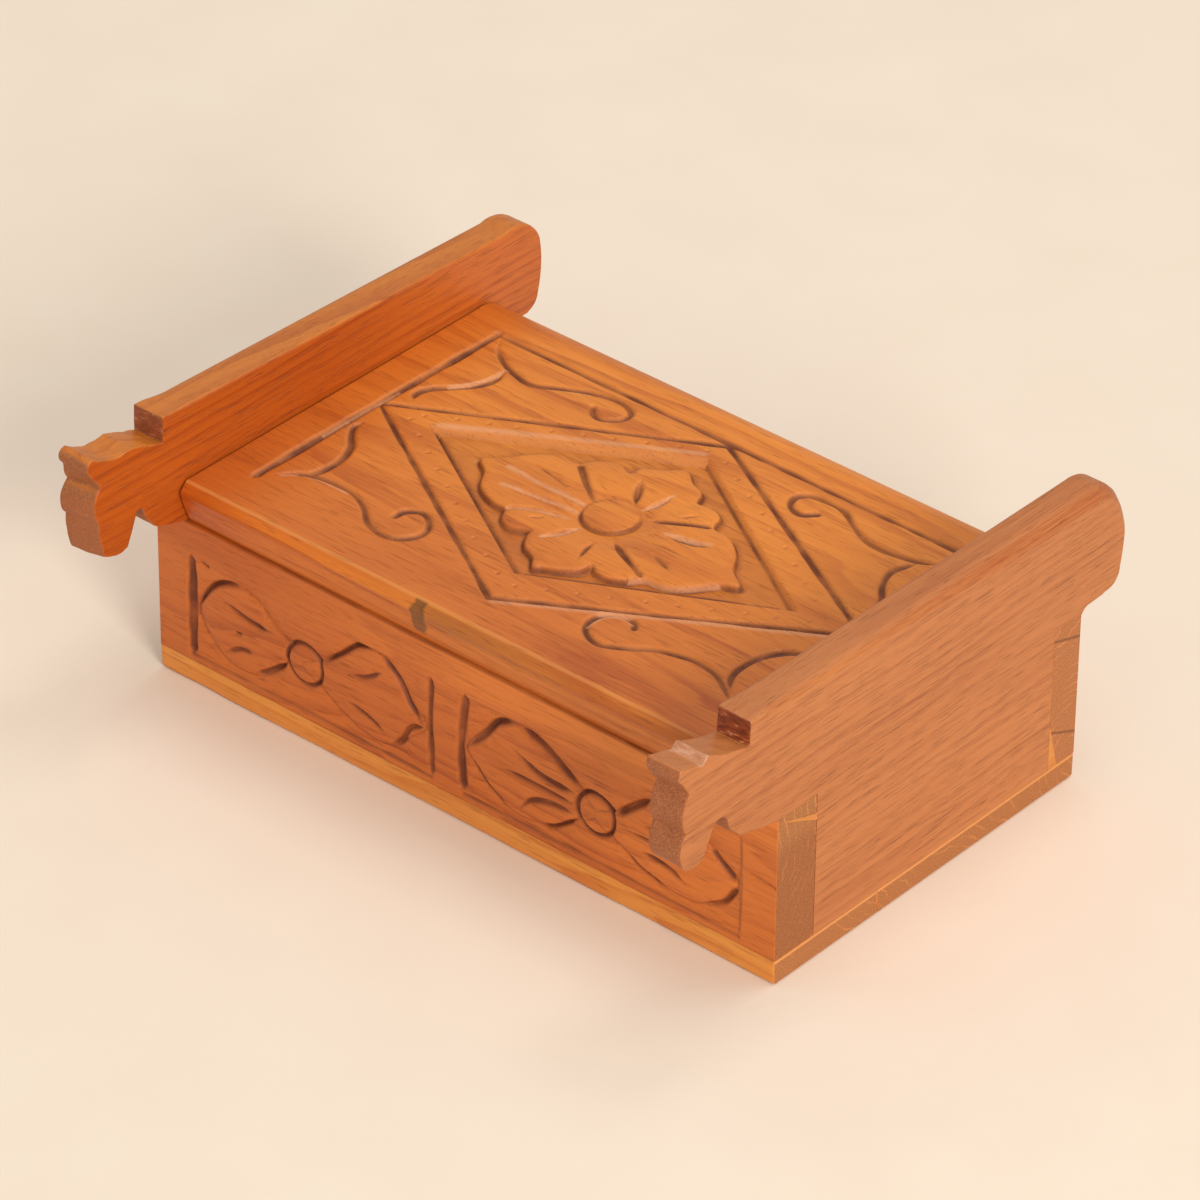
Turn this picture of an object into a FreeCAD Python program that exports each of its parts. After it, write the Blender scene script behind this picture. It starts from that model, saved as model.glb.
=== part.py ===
import FreeCAD, Part
import math
import os
import Sketcher

# Carved keepsake box: two base boards, front and back panels, two end boards with
# carved heads, and a lid that turns on two wooden pegs. Millimetres, Z up, the origin
# at the middle of the base's underside, the front towards -Y.

doc = FreeCAD.newDocument("carved_box")
sheet = doc.addObject("Spreadsheet::Sheet", "Dims")

# Driving sizes in millimetres, one row each.
sizes = {
    # the whole box
    "box_length": 190.0,
    "box_depth": 109.0,
    "wall_height": 40.5,
    # base boards
    "base_height": 5.0,
    "base_joint_from_front": 36.5,
    "base_edge_radius": 1.6,
    # front and back panels
    "front_panel_thickness": 13.5,
    "back_panel_thickness": 10.0,
    # wedges driven into the right-hand joints
    "wedge_length": 8.0,
    "front_wedge_drop": 5.0,
    "front_wedge_thickness": 2.0,
    "front_wedge_tip_margin": 1.4,
    "rear_wedge_height": 14.0,
    "rear_wedge_thickness": 3.6,
    # end boards
    "end_board_thickness": 9.4,
    "end_board_rise": 32.0,
    "left_head_reach": 31.5,
    "right_head_reach": 34.0,
    "left_tail_reach": 17.3,
    "right_tail_reach": 15.2,
    "left_tail_drop": 4.6,
    "right_tail_drop": 2.7,
    "top_edge_radius": 2.4,
    "cut_overrun": 2.0,
    # lid
    "lid_thickness": 11.6,
    "lid_side_gap": 0.35,
    "lid_back_gap": 0.3,
    "lid_front_overhang": 2.2,
    "lid_front_tuck": 0.9,
    "lid_rear_overhang": 2.7,
    "lid_rear_round": 9.7,
    "pivot_height": 5.7,
    # pegs
    "peg_radius": 2.0,
    "peg_in_board": 6.0,
    "peg_in_lid": 8.0,
    "peg_clearance": 0.05,
    "peg_end_gap": 0.3,
    # carving on the lid
    "border_end_margin": 10.9,
    "border_rear_margin": 5.0,
    "border_front_margin": 11.0,
    "groove_width": 2.2,
    "groove_depth": 0.9,
    "diamond_margin": 1.5,
    "diamond_band": 14.0,
    "ground_depth": 1.5,
    "boss_radius": 6.6,
    "boss_ring_width": 1.8,
    "boss_ring_depth": 1.5,
    "scroll_width": 2.2,
    "scroll_depth": 0.9,
    "petal_cut_width": 1.8,
    "petal_cut_depth": 0.8,
    "vein_width": 1.9,
    "vein_depth": 0.7,
    # carving on the front panel
    "field_bottom_margin": 3.2,
    "field_top_margin": 9.3,
    "field_end_margin": 11.0,
    "mullion_width": 10.2,
    "mullion_shift": 3.3,
    "field_depth": 1.0,
    "leaf_end_margin": 3.0,
    "leaf_side_margin": 1.8,
    "front_boss_radius": 4.8,
    "front_ring_width": 1.6,
    "front_ring_depth": 1.4,
}
for row, (alias, number) in enumerate(sizes.items(), start=1):
    sheet.set("A%d" % row, alias)
    sheet.set("B%d" % row, repr(number))
    sheet.setAlias("B%d" % row, alias)
doc.recompute()


class Size:
    """A length with its expression on the sheet and its present value."""

    def __init__(self, text, value):
        self.text = text
        self.value = value

    def __add__(self, other):
        return Size("(%s + %s)" % (self.text, other.text), self.value + other.value)

    def __sub__(self, other):
        return Size("(%s - %s)" % (self.text, other.text), self.value - other.value)

    def __mul__(self, share):
        return Size("(%s * %r)" % (self.text, float(share)), self.value * share)

    def __truediv__(self, share):
        return Size("(%s / %r)" % (self.text, float(share)), self.value / share)

    def __neg__(self):
        return Size("(-1 * %s)" % self.text, -self.value)

    __rmul__ = __mul__


def size(alias):
    return Size("Dims." + alias, sizes[alias])


zero = Size("0", 0.0)

# Places that several pieces share.
half_length = size("box_length") / 2
front = -(size("box_depth") / 2)
back = size("box_depth") / 2
base_top = size("base_height")
wall_top = base_top + size("wall_height")
back_top = wall_top - size("lid_back_gap")
tongue_front = front + size("front_panel_thickness")
tongue_back = back - size("back_panel_thickness")
lid_top = wall_top + size("lid_thickness")
lid_half = half_length - size("end_board_thickness") - size("lid_side_gap")
inner_face = half_length - size("end_board_thickness")
lid_rear = back + size("lid_rear_overhang")
pivot_y = lid_rear - size("pivot_height")
pivot_z = wall_top + size("pivot_height")
bore_radius = size("peg_radius") + size("peg_clearance")


def new_body(label):
    body = doc.addObject("PartDesign::Body", label)
    body.Label = label
    return body


def new_sketch(body, name, role, offset=None):
    """A sketch on one of the body's own origin planes, moved along its normal."""
    sketch = body.newObject("Sketcher::SketchObject", name)
    plane = [f for f in body.Origin.OriginFeatures if f.Role == role][0]
    sketch.AttachmentSupport = [(plane, "")]
    sketch.MapMode = "FlatFace"
    if offset is not None:
        sketch.AttachmentOffset.Base.z = offset.value
        sketch.setExpression("AttachmentOffset.Base.z", offset.text)
    return sketch


def place(sketch, index, corner, x, y):
    """Ties a point of the sketch to the origin with two driven distances."""
    for kind, length in (("DistanceX", x), ("DistanceY", y)):
        number = sketch.addConstraint(Sketcher.Constraint(kind, -1, 1, index, corner, length.value))
        sketch.setExpression("Constraints[%d]" % number, length.text)


def turning_arc(start, middle, end, leftward):
    """The arc through three points, always kept with its axis up and its angle growing."""
    centre = Part.Circle(start, middle, end).Center
    first, last = (start, end) if leftward else (end, start)
    rim = Part.Circle(centre, FreeCAD.Vector(0, 0, 1), (start - centre).Length)
    first_angle = rim.parameter(first)
    last_angle = rim.parameter(last)
    return Part.ArcOfCircle(rim, first_angle, last_angle)


def draw(sketch, steps):
    """A closed outline. Each step is (x, y) for the end of a straight edge,
    or (x, y, mid_x, mid_y) for the end of an arc that passes through a middle point."""
    ends = [FreeCAD.Vector(s[0].value, s[1].value, 0) for s in steps]
    corners = []
    for number, step in enumerate(steps):
        start = ends[number - 1]
        end = ends[number]
        if len(step) == 2:
            index = sketch.addGeometry(Part.LineSegment(start, end), False)
            corners.append((index, 1, 2))
            continue
        middle = FreeCAD.Vector(step[2].value, step[3].value, 0)
        leftward = (middle - start).cross(end - middle).z > 0
        index = sketch.addGeometry(turning_arc(start, middle, end, leftward), False)
        corners.append((index, 1, 2) if leftward else (index, 2, 1))
    for number, (index, start, end) in enumerate(corners):
        before = corners[number - 1]
        sketch.addConstraint(Sketcher.Constraint("Coincident", before[0], before[2], index, start))
    for number, step in enumerate(steps):
        index, start, end = corners[number]
        place(sketch, index, end, step[0], step[1])
        if len(step) == 4:
            middle = FreeCAD.Vector(step[2].value, step[3].value, 0)
            point = sketch.addGeometry(Part.Point(middle), True)
            sketch.addConstraint(Sketcher.Constraint("PointOnObject", point, 1, index))
            place(sketch, point, 1, step[2], step[3])


def circle(sketch, x, y, radius):
    where = FreeCAD.Vector(x.value, y.value, 0)
    index = sketch.addGeometry(Part.Circle(where, FreeCAD.Vector(0, 0, 1), radius.value), False)
    number = sketch.addConstraint(Sketcher.Constraint("Radius", index, radius.value))
    sketch.setExpression("Constraints[%d]" % number, radius.text)
    place(sketch, index, 3, x, y)


def pad(body, sketch, name, length, midplane=False, backwards=False):
    feature = body.newObject("PartDesign::Pad", name)
    feature.Profile = sketch
    feature.Length = length.value
    feature.setExpression("Length", length.text)
    if midplane:
        feature.SideType = "Symmetric"
    feature.Reversed = backwards
    doc.recompute()
    return feature


groove_flank = -40.0


def pocket(body, sketch, name, depth, midplane=False, backwards=False, taper=0.0):
    """Cuts the sketch out of the body and makes sure that wood was removed."""
    before = body.Shape.Volume
    feature = body.newObject("PartDesign::Pocket", name)
    feature.Profile = sketch
    feature.Length = depth.value
    feature.setExpression("Length", depth.text)
    if midplane:
        feature.SideType = "Symmetric"
    feature.Reversed = backwards
    feature.TaperAngle = taper
    doc.recompute()
    if not body.Shape.Volume < before:
        raise RuntimeError(name + " cuts nothing")
    return feature


def edges_where(feature, test):
    """Names of the edges whose two ends and middle all pass the test."""
    names = []
    for number, edge in enumerate(feature.Shape.Edges, start=1):
        low, high = edge.ParameterRange
        points = [edge.valueAt(low + (high - low) * share) for share in (0.0, 0.5, 1.0)]
        if all(test(p) for p in points):
            names.append("Edge%d" % number)
    return names


def fillet(body, base, name, edges, radius):
    if not edges:
        raise RuntimeError(name + " finds no edges")
    feature = body.newObject("PartDesign::Fillet", name)
    feature.Base = (base, edges)
    feature.Radius = radius.value
    feature.setExpression("Radius", radius.text)
    doc.recompute()
    return feature


def near(a, b):
    return abs(a - b) < 0.001


def rectangle(x0, y0, x1, y1):
    return [(x0, y0), (x1, y0), (x1, y1), (x0, y1)]


# Base: two boards glued edge to edge, the outer lower edges rounded.
joint_y = front + size("base_joint_from_front")


def base_board(label, y0, y1, outer):
    body = new_body(label)
    sketch = new_sketch(body, label + "_outline", "XY_Plane")
    draw(sketch, rectangle(-half_length, y0, half_length, y1))
    board = pad(body, sketch, label + "_board", size("base_height"))

    def low_outer(p):
        at_end = near(abs(p.x), half_length.value)
        return near(p.z, 0) and (at_end or near(p.y, outer.value))

    fillet(body, board, label + "_worn_edges", edges_where(board, low_outer), size("base_edge_radius"))
    return body


base_front_board = base_board("base_front_board", front, joint_y, front)
base_rear_board = base_board("base_rear_board", joint_y, back, back)

# Front panel: a board on edge with a thin slot in its right end for a wedge.
front_panel = new_body("front_panel")
front_sketch = new_sketch(front_panel, "front_panel_outline", "XY_Plane", base_top)
draw(front_sketch, rectangle(-half_length, front, half_length, tongue_front))
pad(front_panel, front_sketch, "front_panel_board", size("wall_height"))
wedge_face = half_length - size("wedge_length")
wedge_high = wall_top - size("front_wedge_drop")
wedge_low = wedge_high - size("front_wedge_thickness")
front_wedge_outline = [
    (front + size("front_wedge_tip_margin"), wall_top - size("front_wedge_tip_margin")),
    (tongue_front, wedge_low),
    (tongue_front, wedge_high),
]
rear_wedge_outline = [
    (tongue_back, base_top),
    (tongue_back + size("rear_wedge_thickness"), base_top),
    (tongue_back, base_top + size("rear_wedge_height")),
]


def wedge_slot(body, name, steps):
    """Cuts the wedge's slot into the right end of a panel."""
    sketch = new_sketch(body, name + "_outline", "YZ_Plane", half_length)
    draw(sketch, steps)
    pocket(body, sketch, name, size("wedge_length"))


def wedge(label, steps):
    body = new_body(label)
    sketch = new_sketch(body, label + "_outline", "YZ_Plane", wedge_face)
    draw(sketch, steps)
    pad(body, sketch, label + "_sliver", size("wedge_length"))
    return body


wedge_slot(front_panel, "front_wedge_slot", front_wedge_outline)
front_wedge = wedge("front_wedge", front_wedge_outline)

# Two sunk fields, each with a pair of leaves and a round boss left standing.
field_low = base_top + size("field_bottom_margin")
field_high = wall_top - size("field_top_margin")
field_outer = half_length - size("field_end_margin")
mullion_half = size("mullion_width") / 2
leaf_middle = (field_low + field_high) / 2
leaf_root_share = 0.16
leaf_belly_share = 0.52
leaf_rise = (field_high - field_low) / 2 - size("leaf_side_margin")


def field_ends(sign):
    """Inner and outer end of a field: the mullion stands a little left of the middle."""
    return mullion_half * sign - size("mullion_shift"), field_outer * sign


def field_outline(sketch, inner, outer, length):
    """One sunk field of that length round its pair of leaves."""
    centre = (inner + outer) / 2
    reach = length / 2 - size("leaf_end_margin")
    rise = leaf_rise
    draw(sketch, rectangle(inner, field_low, outer, field_high))
    steps = []
    for side, turn in ((1, 1), (1, -1), (-1, -1), (-1, 1)):
        tip = (centre + reach * side, leaf_middle)
        root = (centre + reach * (side * leaf_root_share), leaf_middle + rise * (turn * leaf_belly_share))
        belly = (centre + reach * (side * leaf_belly_share), leaf_middle + rise * turn)
        if side == turn:
            steps.append(tip + belly)
        else:
            steps.append(root + belly)
            bottom = leaf_middle - rise * (side * leaf_belly_share)
            bridge = centre - reach * (side * leaf_root_share)
            steps.append((bridge, bottom))
    draw(sketch, steps)


for word, sign in (("left", -1), ("right", 1)):
    field_sketch = new_sketch(front_panel, word + "_field_outline", "XZ_Plane", -front)
    inner_end, outer_end = field_ends(sign)
    field_length = (outer_end - inner_end) * sign
    field_outline(field_sketch, inner_end, outer_end, field_length)
    pocket(front_panel, field_sketch, word + "_field", size("field_depth"))
    ring_sketch = new_sketch(front_panel, word + "_boss_ring_outline", "XZ_Plane", -front)
    boss_x = (inner_end + outer_end) / 2
    circle(ring_sketch, boss_x, leaf_middle, size("front_boss_radius") + size("front_ring_width"))
    circle(ring_sketch, boss_x, leaf_middle, size("front_boss_radius"))
    pocket(front_panel, ring_sketch, word + "_boss_ring", size("front_ring_depth"))

# Back panel: a plain board, a little lower so that the lid's rear nose turns freely.
back_panel = new_body("back_panel")
back_sketch = new_sketch(back_panel, "back_panel_outline", "XY_Plane", base_top)
draw(back_sketch, rectangle(-half_length, tongue_back, half_length, back))
pad(back_panel, back_sketch, "back_panel_board", size("wall_height") - size("lid_back_gap"))
wedge_slot(back_panel, "rear_wedge_slot", rear_wedge_outline)
rear_wedge = wedge("rear_wedge", rear_wedge_outline)

# End boards: a tongue between the panels and above it a long profile with a carved
# head in front and a rounded tail behind. The two were cut by hand, so each has its own
# head. Head points are shares of the reach in front of the panel and of the rise above
# the wall; tail points likewise behind, where the top has fallen a little.
head_shares = {
    "left": {
        "step_top": (0.206, 0.98),
        "step_foot": (0.215, 0.77),
        "scoop": (0.36, 0.818),
        "brow": (0.53, 0.88),
        "brow_foot": (0.61, 0.87),
        "saddle": (0.76, 0.885),
        "nose": (0.93, 0.968),
        "nose_front": (0.993, 0.93),
        "upper_lip": (0.97, 0.84),
        "mouth": (0.875, 0.69),
        "lower_lip": (0.955, 0.56),
        "chin_notch": (0.905, 0.40),
        "chin_front": (0.897, 0.24),
        "chin": (0.86, 0.09),
        "chin_under": (0.735, 0.045),
        "jaw": (0.61, 0.06),
        "jaw_rear": (0.52, 0.27),
        "throat": (0.475, 0.33),
        "throat_rear": (0.425, 0.265),
        "breast": (0.36, 0.15),
        "shoulder": (0.28, 0.075),
    },
    "right": {
        "step_top": (0.315, 1.0),
        "step_foot": (0.325, 0.80),
        "scoop": (0.51, 0.856),
        "brow": (0.735, 0.958),
        "brow_foot": (0.78, 0.91),
        "saddle": (0.88, 0.942),
        "nose": (1.0, 0.985),
        "nose_front": (1.02, 0.92),
        "upper_lip": (0.985, 0.85),
        "mouth": (0.915, 0.735),
        "lower_lip": (0.974, 0.56),
        "chin_notch": (0.937, 0.412),
        "chin_front": (0.988, 0.25),
        "chin": (0.93, 0.115),
        "chin_under": (0.84, 0.085),
        "jaw": (0.745, 0.112),
        "jaw_rear": (0.68, 0.28),
        "throat": (0.60, 0.352),
        "throat_rear": (0.517, 0.267),
        "breast": (0.462, 0.165),
        "shoulder": (0.387, 0.088),
    },
}
tail_shares = {
    "hollow": (0.06, 0.024),
    "underside": (0.2, 0.04),
    "underside_end": (0.66, 0.05),
    "lower_corner": (0.84, 0.09),
    "rear_low": (0.93, 0.2),
    "rear": (1.0, 0.52),
    "rear_high": (0.965, 0.77),
    "upper_corner": (0.76, 0.94),
    "top": (0.25, 1.0),
}


def head(side, *words):
    point = []
    for word in words:
        out, up = head_shares[side][word]
        point += [front - size(side + "_head_reach") * out, wall_top + size("end_board_rise") * up]
    return tuple(point)


def tail(side, *words):
    rise = size("end_board_rise") - size(side + "_tail_drop")
    point = []
    for word in words:
        out, up = tail_shares[word]
        point += [back + size(side + "_tail_reach") * out, wall_top + rise * up]
    return tuple(point)


# The middle of a quarter round lies this share of the radius in from both faces.
round_middle_share = 0.2929


def end_outline(side):
    return [
        head(side, "step_top"),
        head(side, "step_foot"),
        head(side, "brow", "scoop"),
        head(side, "brow_foot"),
        head(side, "nose", "saddle"),
        head(side, "upper_lip", "nose_front"),
        head(side, "mouth"),
        head(side, "chin_notch", "lower_lip"),
        head(side, "chin", "chin_front"),
        head(side, "jaw", "chin_under"),
        head(side, "jaw_rear"),
        head(side, "throat_rear", "throat"),
        head(side, "shoulder", "breast"),
        (front, wall_top),
        (tongue_front, wall_top),
        (tongue_front, base_top),
        (tongue_back, base_top),
        (tongue_back, back_top),
        (back, back_top),
        tail(side, "underside", "hollow"),
        tail(side, "underside_end"),
        tail(side, "rear_low", "lower_corner"),
        tail(side, "rear_high", "rear"),
        tail(side, "top", "upper_corner"),
    ]


def round_over(body, side, sign):
    """Rounds the outer upper edge with one long cut that follows the falling top."""
    label = body.Label
    sketch = new_sketch(body, label + "_round_over_outline", "XZ_Plane")
    step_y, step_z = head(side, "step_top")
    tail_y, tail_z = tail(side, "top")
    fall = step_z - tail_z
    run = tail_y - step_y
    slope = math.degrees(math.atan2(fall.value, run.value))
    tilt = FreeCAD.Rotation(FreeCAD.Vector(1, 0, 0), slope)
    sketch.AttachmentOffset = FreeCAD.Placement(FreeCAD.Vector(0, step_z.value, -step_y.value), tilt)
    sketch.setExpression("AttachmentOffset.Base.y", step_z.text)
    sketch.setExpression("AttachmentOffset.Base.z", (-step_y).text)
    sketch.setExpression("AttachmentOffset.Rotation.Angle", "atan(%s / %s)" % (fall.text, run.text))
    radius = size("top_edge_radius")
    edge = half_length * sign
    clear_edge = (half_length + size("cut_overrun")) * sign
    start = (half_length - radius) * sign
    inset = (half_length - radius * round_middle_share) * sign
    draw(sketch, [
        (start, zero),
        (edge, -radius, inset, -(radius * round_middle_share)),
        (clear_edge, -radius),
        (clear_edge, size("cut_overrun")),
        (start, size("cut_overrun")),
    ])
    pocket(body, sketch, label + "_round_over", run * 2, midplane=True)


def end_board(side, sign):
    label = side + "_end_board"
    body = new_body(label)
    face = inner_face if sign > 0 else -half_length
    sketch = new_sketch(body, label + "_outline", "YZ_Plane", face)
    draw(sketch, end_outline(side))
    pad(body, sketch, label + "_board", size("end_board_thickness"))
    bore_sketch = new_sketch(body, label + "_bore_outline", "YZ_Plane", inner_face * sign)
    circle(bore_sketch, pivot_y, pivot_z, size("peg_radius"))
    pocket(body, bore_sketch, label + "_bore", size("peg_in_board"), backwards=sign > 0)
    round_over(body, side, sign)
    return body


left_end_board = end_board("left", -1)
right_end_board = end_board("right", 1)

# Pegs: fixed in the end boards, running in the lid.
peg_length = size("peg_in_board") + size("lid_side_gap") + size("peg_in_lid")


def pivot_peg(label, sign):
    body = new_body(label)
    outer_end = inner_face + size("peg_in_board")
    face = outer_end - peg_length if sign > 0 else -outer_end
    sketch = new_sketch(body, label + "_outline", "YZ_Plane", face)
    circle(sketch, pivot_y, pivot_z, size("peg_radius"))
    pad(body, sketch, label + "_rod", peg_length)
    return body


left_pivot_peg = pivot_peg("left_pivot_peg", -1)
right_pivot_peg = pivot_peg("right_pivot_peg", 1)

# Lid: a board with a nosed front edge and a rear edge rounded about the pegs.
nose_shares = {"belly": (0.75, 0.45), "crest": (1.0, 0.78), "brim": (0.6, 0.95)}
arris_share = 0.14
rear_round_shares = (0.707, 0.707)
lid = new_body("lid")
lid_sketch = new_sketch(lid, "lid_outline", "YZ_Plane")


def nose(word):
    out, up = nose_shares[word]
    return (front - size("lid_front_overhang") * out, wall_top + size("lid_thickness") * up)


rear_start = lid_rear - size("lid_rear_round")
over_pivot = size("lid_thickness") - size("pivot_height")
along, across = rear_round_shares
rear_middle = (rear_start + size("lid_rear_round") * along, pivot_z + over_pivot * across)
under_middle = (pivot_y + size("pivot_height") * along, pivot_z - size("pivot_height") * across)
draw(lid_sketch, [
    (front + size("lid_front_tuck"), wall_top),
    nose("crest") + nose("belly"),
    (front + size("lid_front_overhang") * arris_share, lid_top) + nose("brim"),
    (rear_start, lid_top),
    (lid_rear, pivot_z) + rear_middle,
    (pivot_y, wall_top) + under_middle,
])
pad(lid, lid_sketch, "lid_board", lid_half * 2, midplane=True)
for word, sign in (("left", -1), ("right", 1)):
    lid_bore = new_sketch(lid, word + "_lid_bore_outline", "YZ_Plane", lid_half * sign)
    circle(lid_bore, pivot_y, pivot_z, bore_radius)
    lid_bore_depth = size("peg_in_lid") + size("peg_end_gap")
    pocket(lid, lid_bore, word + "_lid_bore", lid_bore_depth, backwards=sign < 0)

# Carving on the lid: a cut border on three sides, two nested diamonds, the ground of
# the inner one lowered round a four-petalled flower with a ringed boss.
groove_half = size("groove_width") / 2
border_half = lid_half - size("border_end_margin")
border_rear = rear_start - size("border_rear_margin")
border_front = front + size("border_front_margin")
carving_y = (border_rear + border_front) / 2
outer_half_x = border_half - size("diamond_margin")
outer_half_y = (border_rear - border_front) / 2 - size("diamond_margin")
inner_half_x = outer_half_x - size("diamond_band")
inner_depth_share = 0.8
inner_half_y = outer_half_y * inner_depth_share


def diamond(sketch, half_x, half_y):
    draw(sketch, [
        (half_x, carving_y),
        (zero, carving_y + half_y),
        (-half_x, carving_y),
        (zero, carving_y - half_y),
    ])


border_sketch = new_sketch(lid, "border_outline", "XY_Plane", lid_top)
border_out = border_half + groove_half
border_in = border_half - groove_half
draw(border_sketch, [
    (-border_out, border_front),
    (-border_in, border_front),
    (-border_in, border_rear - groove_half),
    (border_in, border_rear - groove_half),
    (border_in, border_front),
    (border_out, border_front),
    (border_out, border_rear + groove_half),
    (-border_out, border_rear + groove_half),
])
pocket(lid, border_sketch, "border_groove", size("groove_depth"), taper=groove_flank)

ring_sketch = new_sketch(lid, "outer_diamond_outline", "XY_Plane", lid_top)
diamond(ring_sketch, outer_half_x, outer_half_y)
diamond(ring_sketch, outer_half_x - size("groove_width") * 2, outer_half_y - size("groove_width"))
pocket(lid, ring_sketch, "outer_diamond_groove", size("groove_depth"), taper=groove_flank)

# Flower: tips and notches of one quarter as shares of the inner diamond's half sizes,
# each with the middle point of the arc that follows it towards the fan.
petal_shares = {
    "side_tip": (0.69, 0.0),
    "side_edge": (0.56, 0.294),
    "side_notch": (0.362, 0.426),
    "lobe": (0.293, 0.588),
    "lobe_notch": (0.181, 0.544),
    "fan_edge": (0.129, 0.72),
    "fan_tip": (0.0, 0.794),
}


def petal(word, sign_x, sign_y):
    across_share, deep_share = petal_shares[word]
    return (inner_half_x * (across_share * sign_x), carving_y + inner_half_y * (deep_share * sign_y))


outward = [("side_notch", "side_edge"), ("lobe_notch", "lobe"), ("fan_tip", "fan_edge")]
homeward = [("lobe_notch", "fan_edge"), ("side_notch", "lobe"), ("side_tip", "side_edge")]
flower = []
for sign_x, sign_y in ((1, 1), (-1, 1), (-1, -1), (1, -1)):
    for point, middle in outward if sign_x == sign_y else homeward:
        flower.append(petal(point, sign_x, sign_y) + petal(middle, sign_x, sign_y))

ground_sketch = new_sketch(lid, "flower_ground_outline", "XY_Plane", lid_top)
diamond(ground_sketch, inner_half_x, inner_half_y)
draw(ground_sketch, flower)
pocket(lid, ground_sketch, "flower_ground", size("ground_depth"))

boss_sketch = new_sketch(lid, "boss_ring_outline", "XY_Plane", lid_top)
circle(boss_sketch, zero, carving_y, size("boss_radius") + size("boss_ring_width"))
circle(boss_sketch, zero, carving_y, size("boss_radius"))
pocket(lid, boss_sketch, "boss_ring", size("boss_ring_depth"))

# Scrolls: one stem and one branch, mirrored into the four corners between the border and
# the outer diamond. Points are shares of the half field, every second one the middle of
# an arc, each followed by its share of the scroll's width.
field_half_y = (border_rear - border_front) / 2
stem_shares = [
    (0.962, 0.907, 0.3),
    (0.861, 0.763, 0.9),
    (0.632, 0.802, 1.0),
    (0.504, 0.912, 1.0),
    (0.390, 0.837, 1.0),
    (0.414, 0.683, 1.0),
    (0.511, 0.693, 0.8),
]
branch_shares = [
    (0.90, 0.81, 0.6),
    (0.861, 0.628, 1.0),
    (0.908, 0.372, 1.0),
    (0.945, 0.279, 0.9),
    (0.948, 0.186, 0.5),
]


def scroll(shares, sign_x, sign_y):
    """The closed outline of one scroll: out along one flank and home along the other."""
    middle_line = []
    for across_share, deep_share, _ in shares:
        x = border_half * (across_share * sign_x)
        y = carving_y + field_half_y * (deep_share * sign_y)
        middle_line.append((x, y))
    flanks = ([], [])
    for n, (x, y) in enumerate(middle_line):
        last_x, last_y = middle_line[max(n - 1, 0)]
        next_x, next_y = middle_line[min(n + 1, len(shares) - 1)]
        run_x = next_x.value - last_x.value
        run_y = next_y.value - last_y.value
        run = math.hypot(run_x, run_y)
        half_width = size("scroll_width") / 2 * shares[n][2]
        for flank, way in zip(flanks, (1, -1)):
            flank.append((x - half_width * (way * run_y / run), y + half_width * (way * run_x / run)))
    out, home = flanks
    home = home[::-1]
    steps = [out[0]]
    for n in range(1, len(out), 2):
        steps.append(out[n + 1] + out[n])
    steps.append(home[0])
    for n in range(1, len(home), 2):
        steps.append(home[n + 1] + home[n])
    return steps


corners = ((1, 1), (-1, 1), (-1, -1), (1, -1))
for name, shares in (("scroll_stems", stem_shares), ("scroll_branches", branch_shares)):
    scroll_sketch = new_sketch(lid, name + "_outline", "XY_Plane", lid_top)
    for sign_x, sign_y in corners:
        draw(scroll_sketch, scroll(shares, sign_x, sign_y))
    pocket(lid, scroll_sketch, name, size("scroll_depth"))

# Cuts between the petals and veins on them, each from its inner to its outer end, as
# shares of the inner diamond's half sizes.
petal_cut_shares = [((0.117, 0.19), (0.37, 0.44))]
vein_shares = [((0.20, 0.07), (0.46, 0.19)), ((0.05, 0.30), (0.085, 0.56))]


def knife_cut(inner_share, outer_share, width, sign_x, sign_y):
    """A slim lozenge, widest in its middle."""
    ends = []
    for across_share, deep_share in (inner_share, outer_share):
        x = inner_half_x * (across_share * sign_x)
        y = carving_y + inner_half_y * (deep_share * sign_y)
        ends.append((x, y))
    (start_x, start_y), (end_x, end_y) = ends
    run_x = end_x.value - start_x.value
    run_y = end_y.value - start_y.value
    run = math.hypot(run_x, run_y)
    middle_x = (start_x + end_x) / 2
    middle_y = (start_y + end_y) / 2
    half_width = width / 2
    left_side = (middle_x - half_width * (run_y / run), middle_y + half_width * (run_x / run))
    right_side = (middle_x + half_width * (run_y / run), middle_y - half_width * (run_x / run))
    return [ends[0], right_side, ends[1], left_side]


for name, shares in (("petal_cut", petal_cut_shares), ("vein", vein_shares)):
    cut_sketch = new_sketch(lid, name + "_outline", "XY_Plane", lid_top)
    for inner_share, outer_share in shares:
        for sign_x, sign_y in corners:
            draw(cut_sketch, knife_cut(inner_share, outer_share, size(name + "_width"), sign_x, sign_y))
    pocket(lid, cut_sketch, name + "s", size(name + "_depth"))

doc.recompute()
for thing in doc.Objects:
    if "Invalid" in thing.State or "Error" in thing.State:
        raise RuntimeError(thing.Label + " is " + ", ".join(thing.State))

os.makedirs("parts", exist_ok=True)
pieces = [
    base_front_board, base_rear_board, front_panel, back_panel, left_end_board,
    right_end_board, left_pivot_peg, right_pivot_peg, front_wedge, rear_wedge, lid,
]
for piece in pieces:
    if piece.Shape.isNull() or not piece.Shape.isValid() or len(piece.Shape.Solids) != 1:
        raise RuntimeError(piece.Label + " is not one sound solid")
    piece.Shape.exportStep("parts/%s.step" % piece.Label)
    box = piece.Shape.BoundBox
    print("%-18s %8.1f cm3  x %.1f..%.1f y %.1f..%.1f z %.1f..%.1f" % (
        piece.Label, piece.Shape.Volume / 1000, box.XMin, box.XMax, box.YMin, box.YMax, box.ZMin, box.ZMax))
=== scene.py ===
import math

import bpy
import numpy as np
from mathutils import Matrix, Vector
from mathutils.geometry import tessellate_polygon


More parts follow.
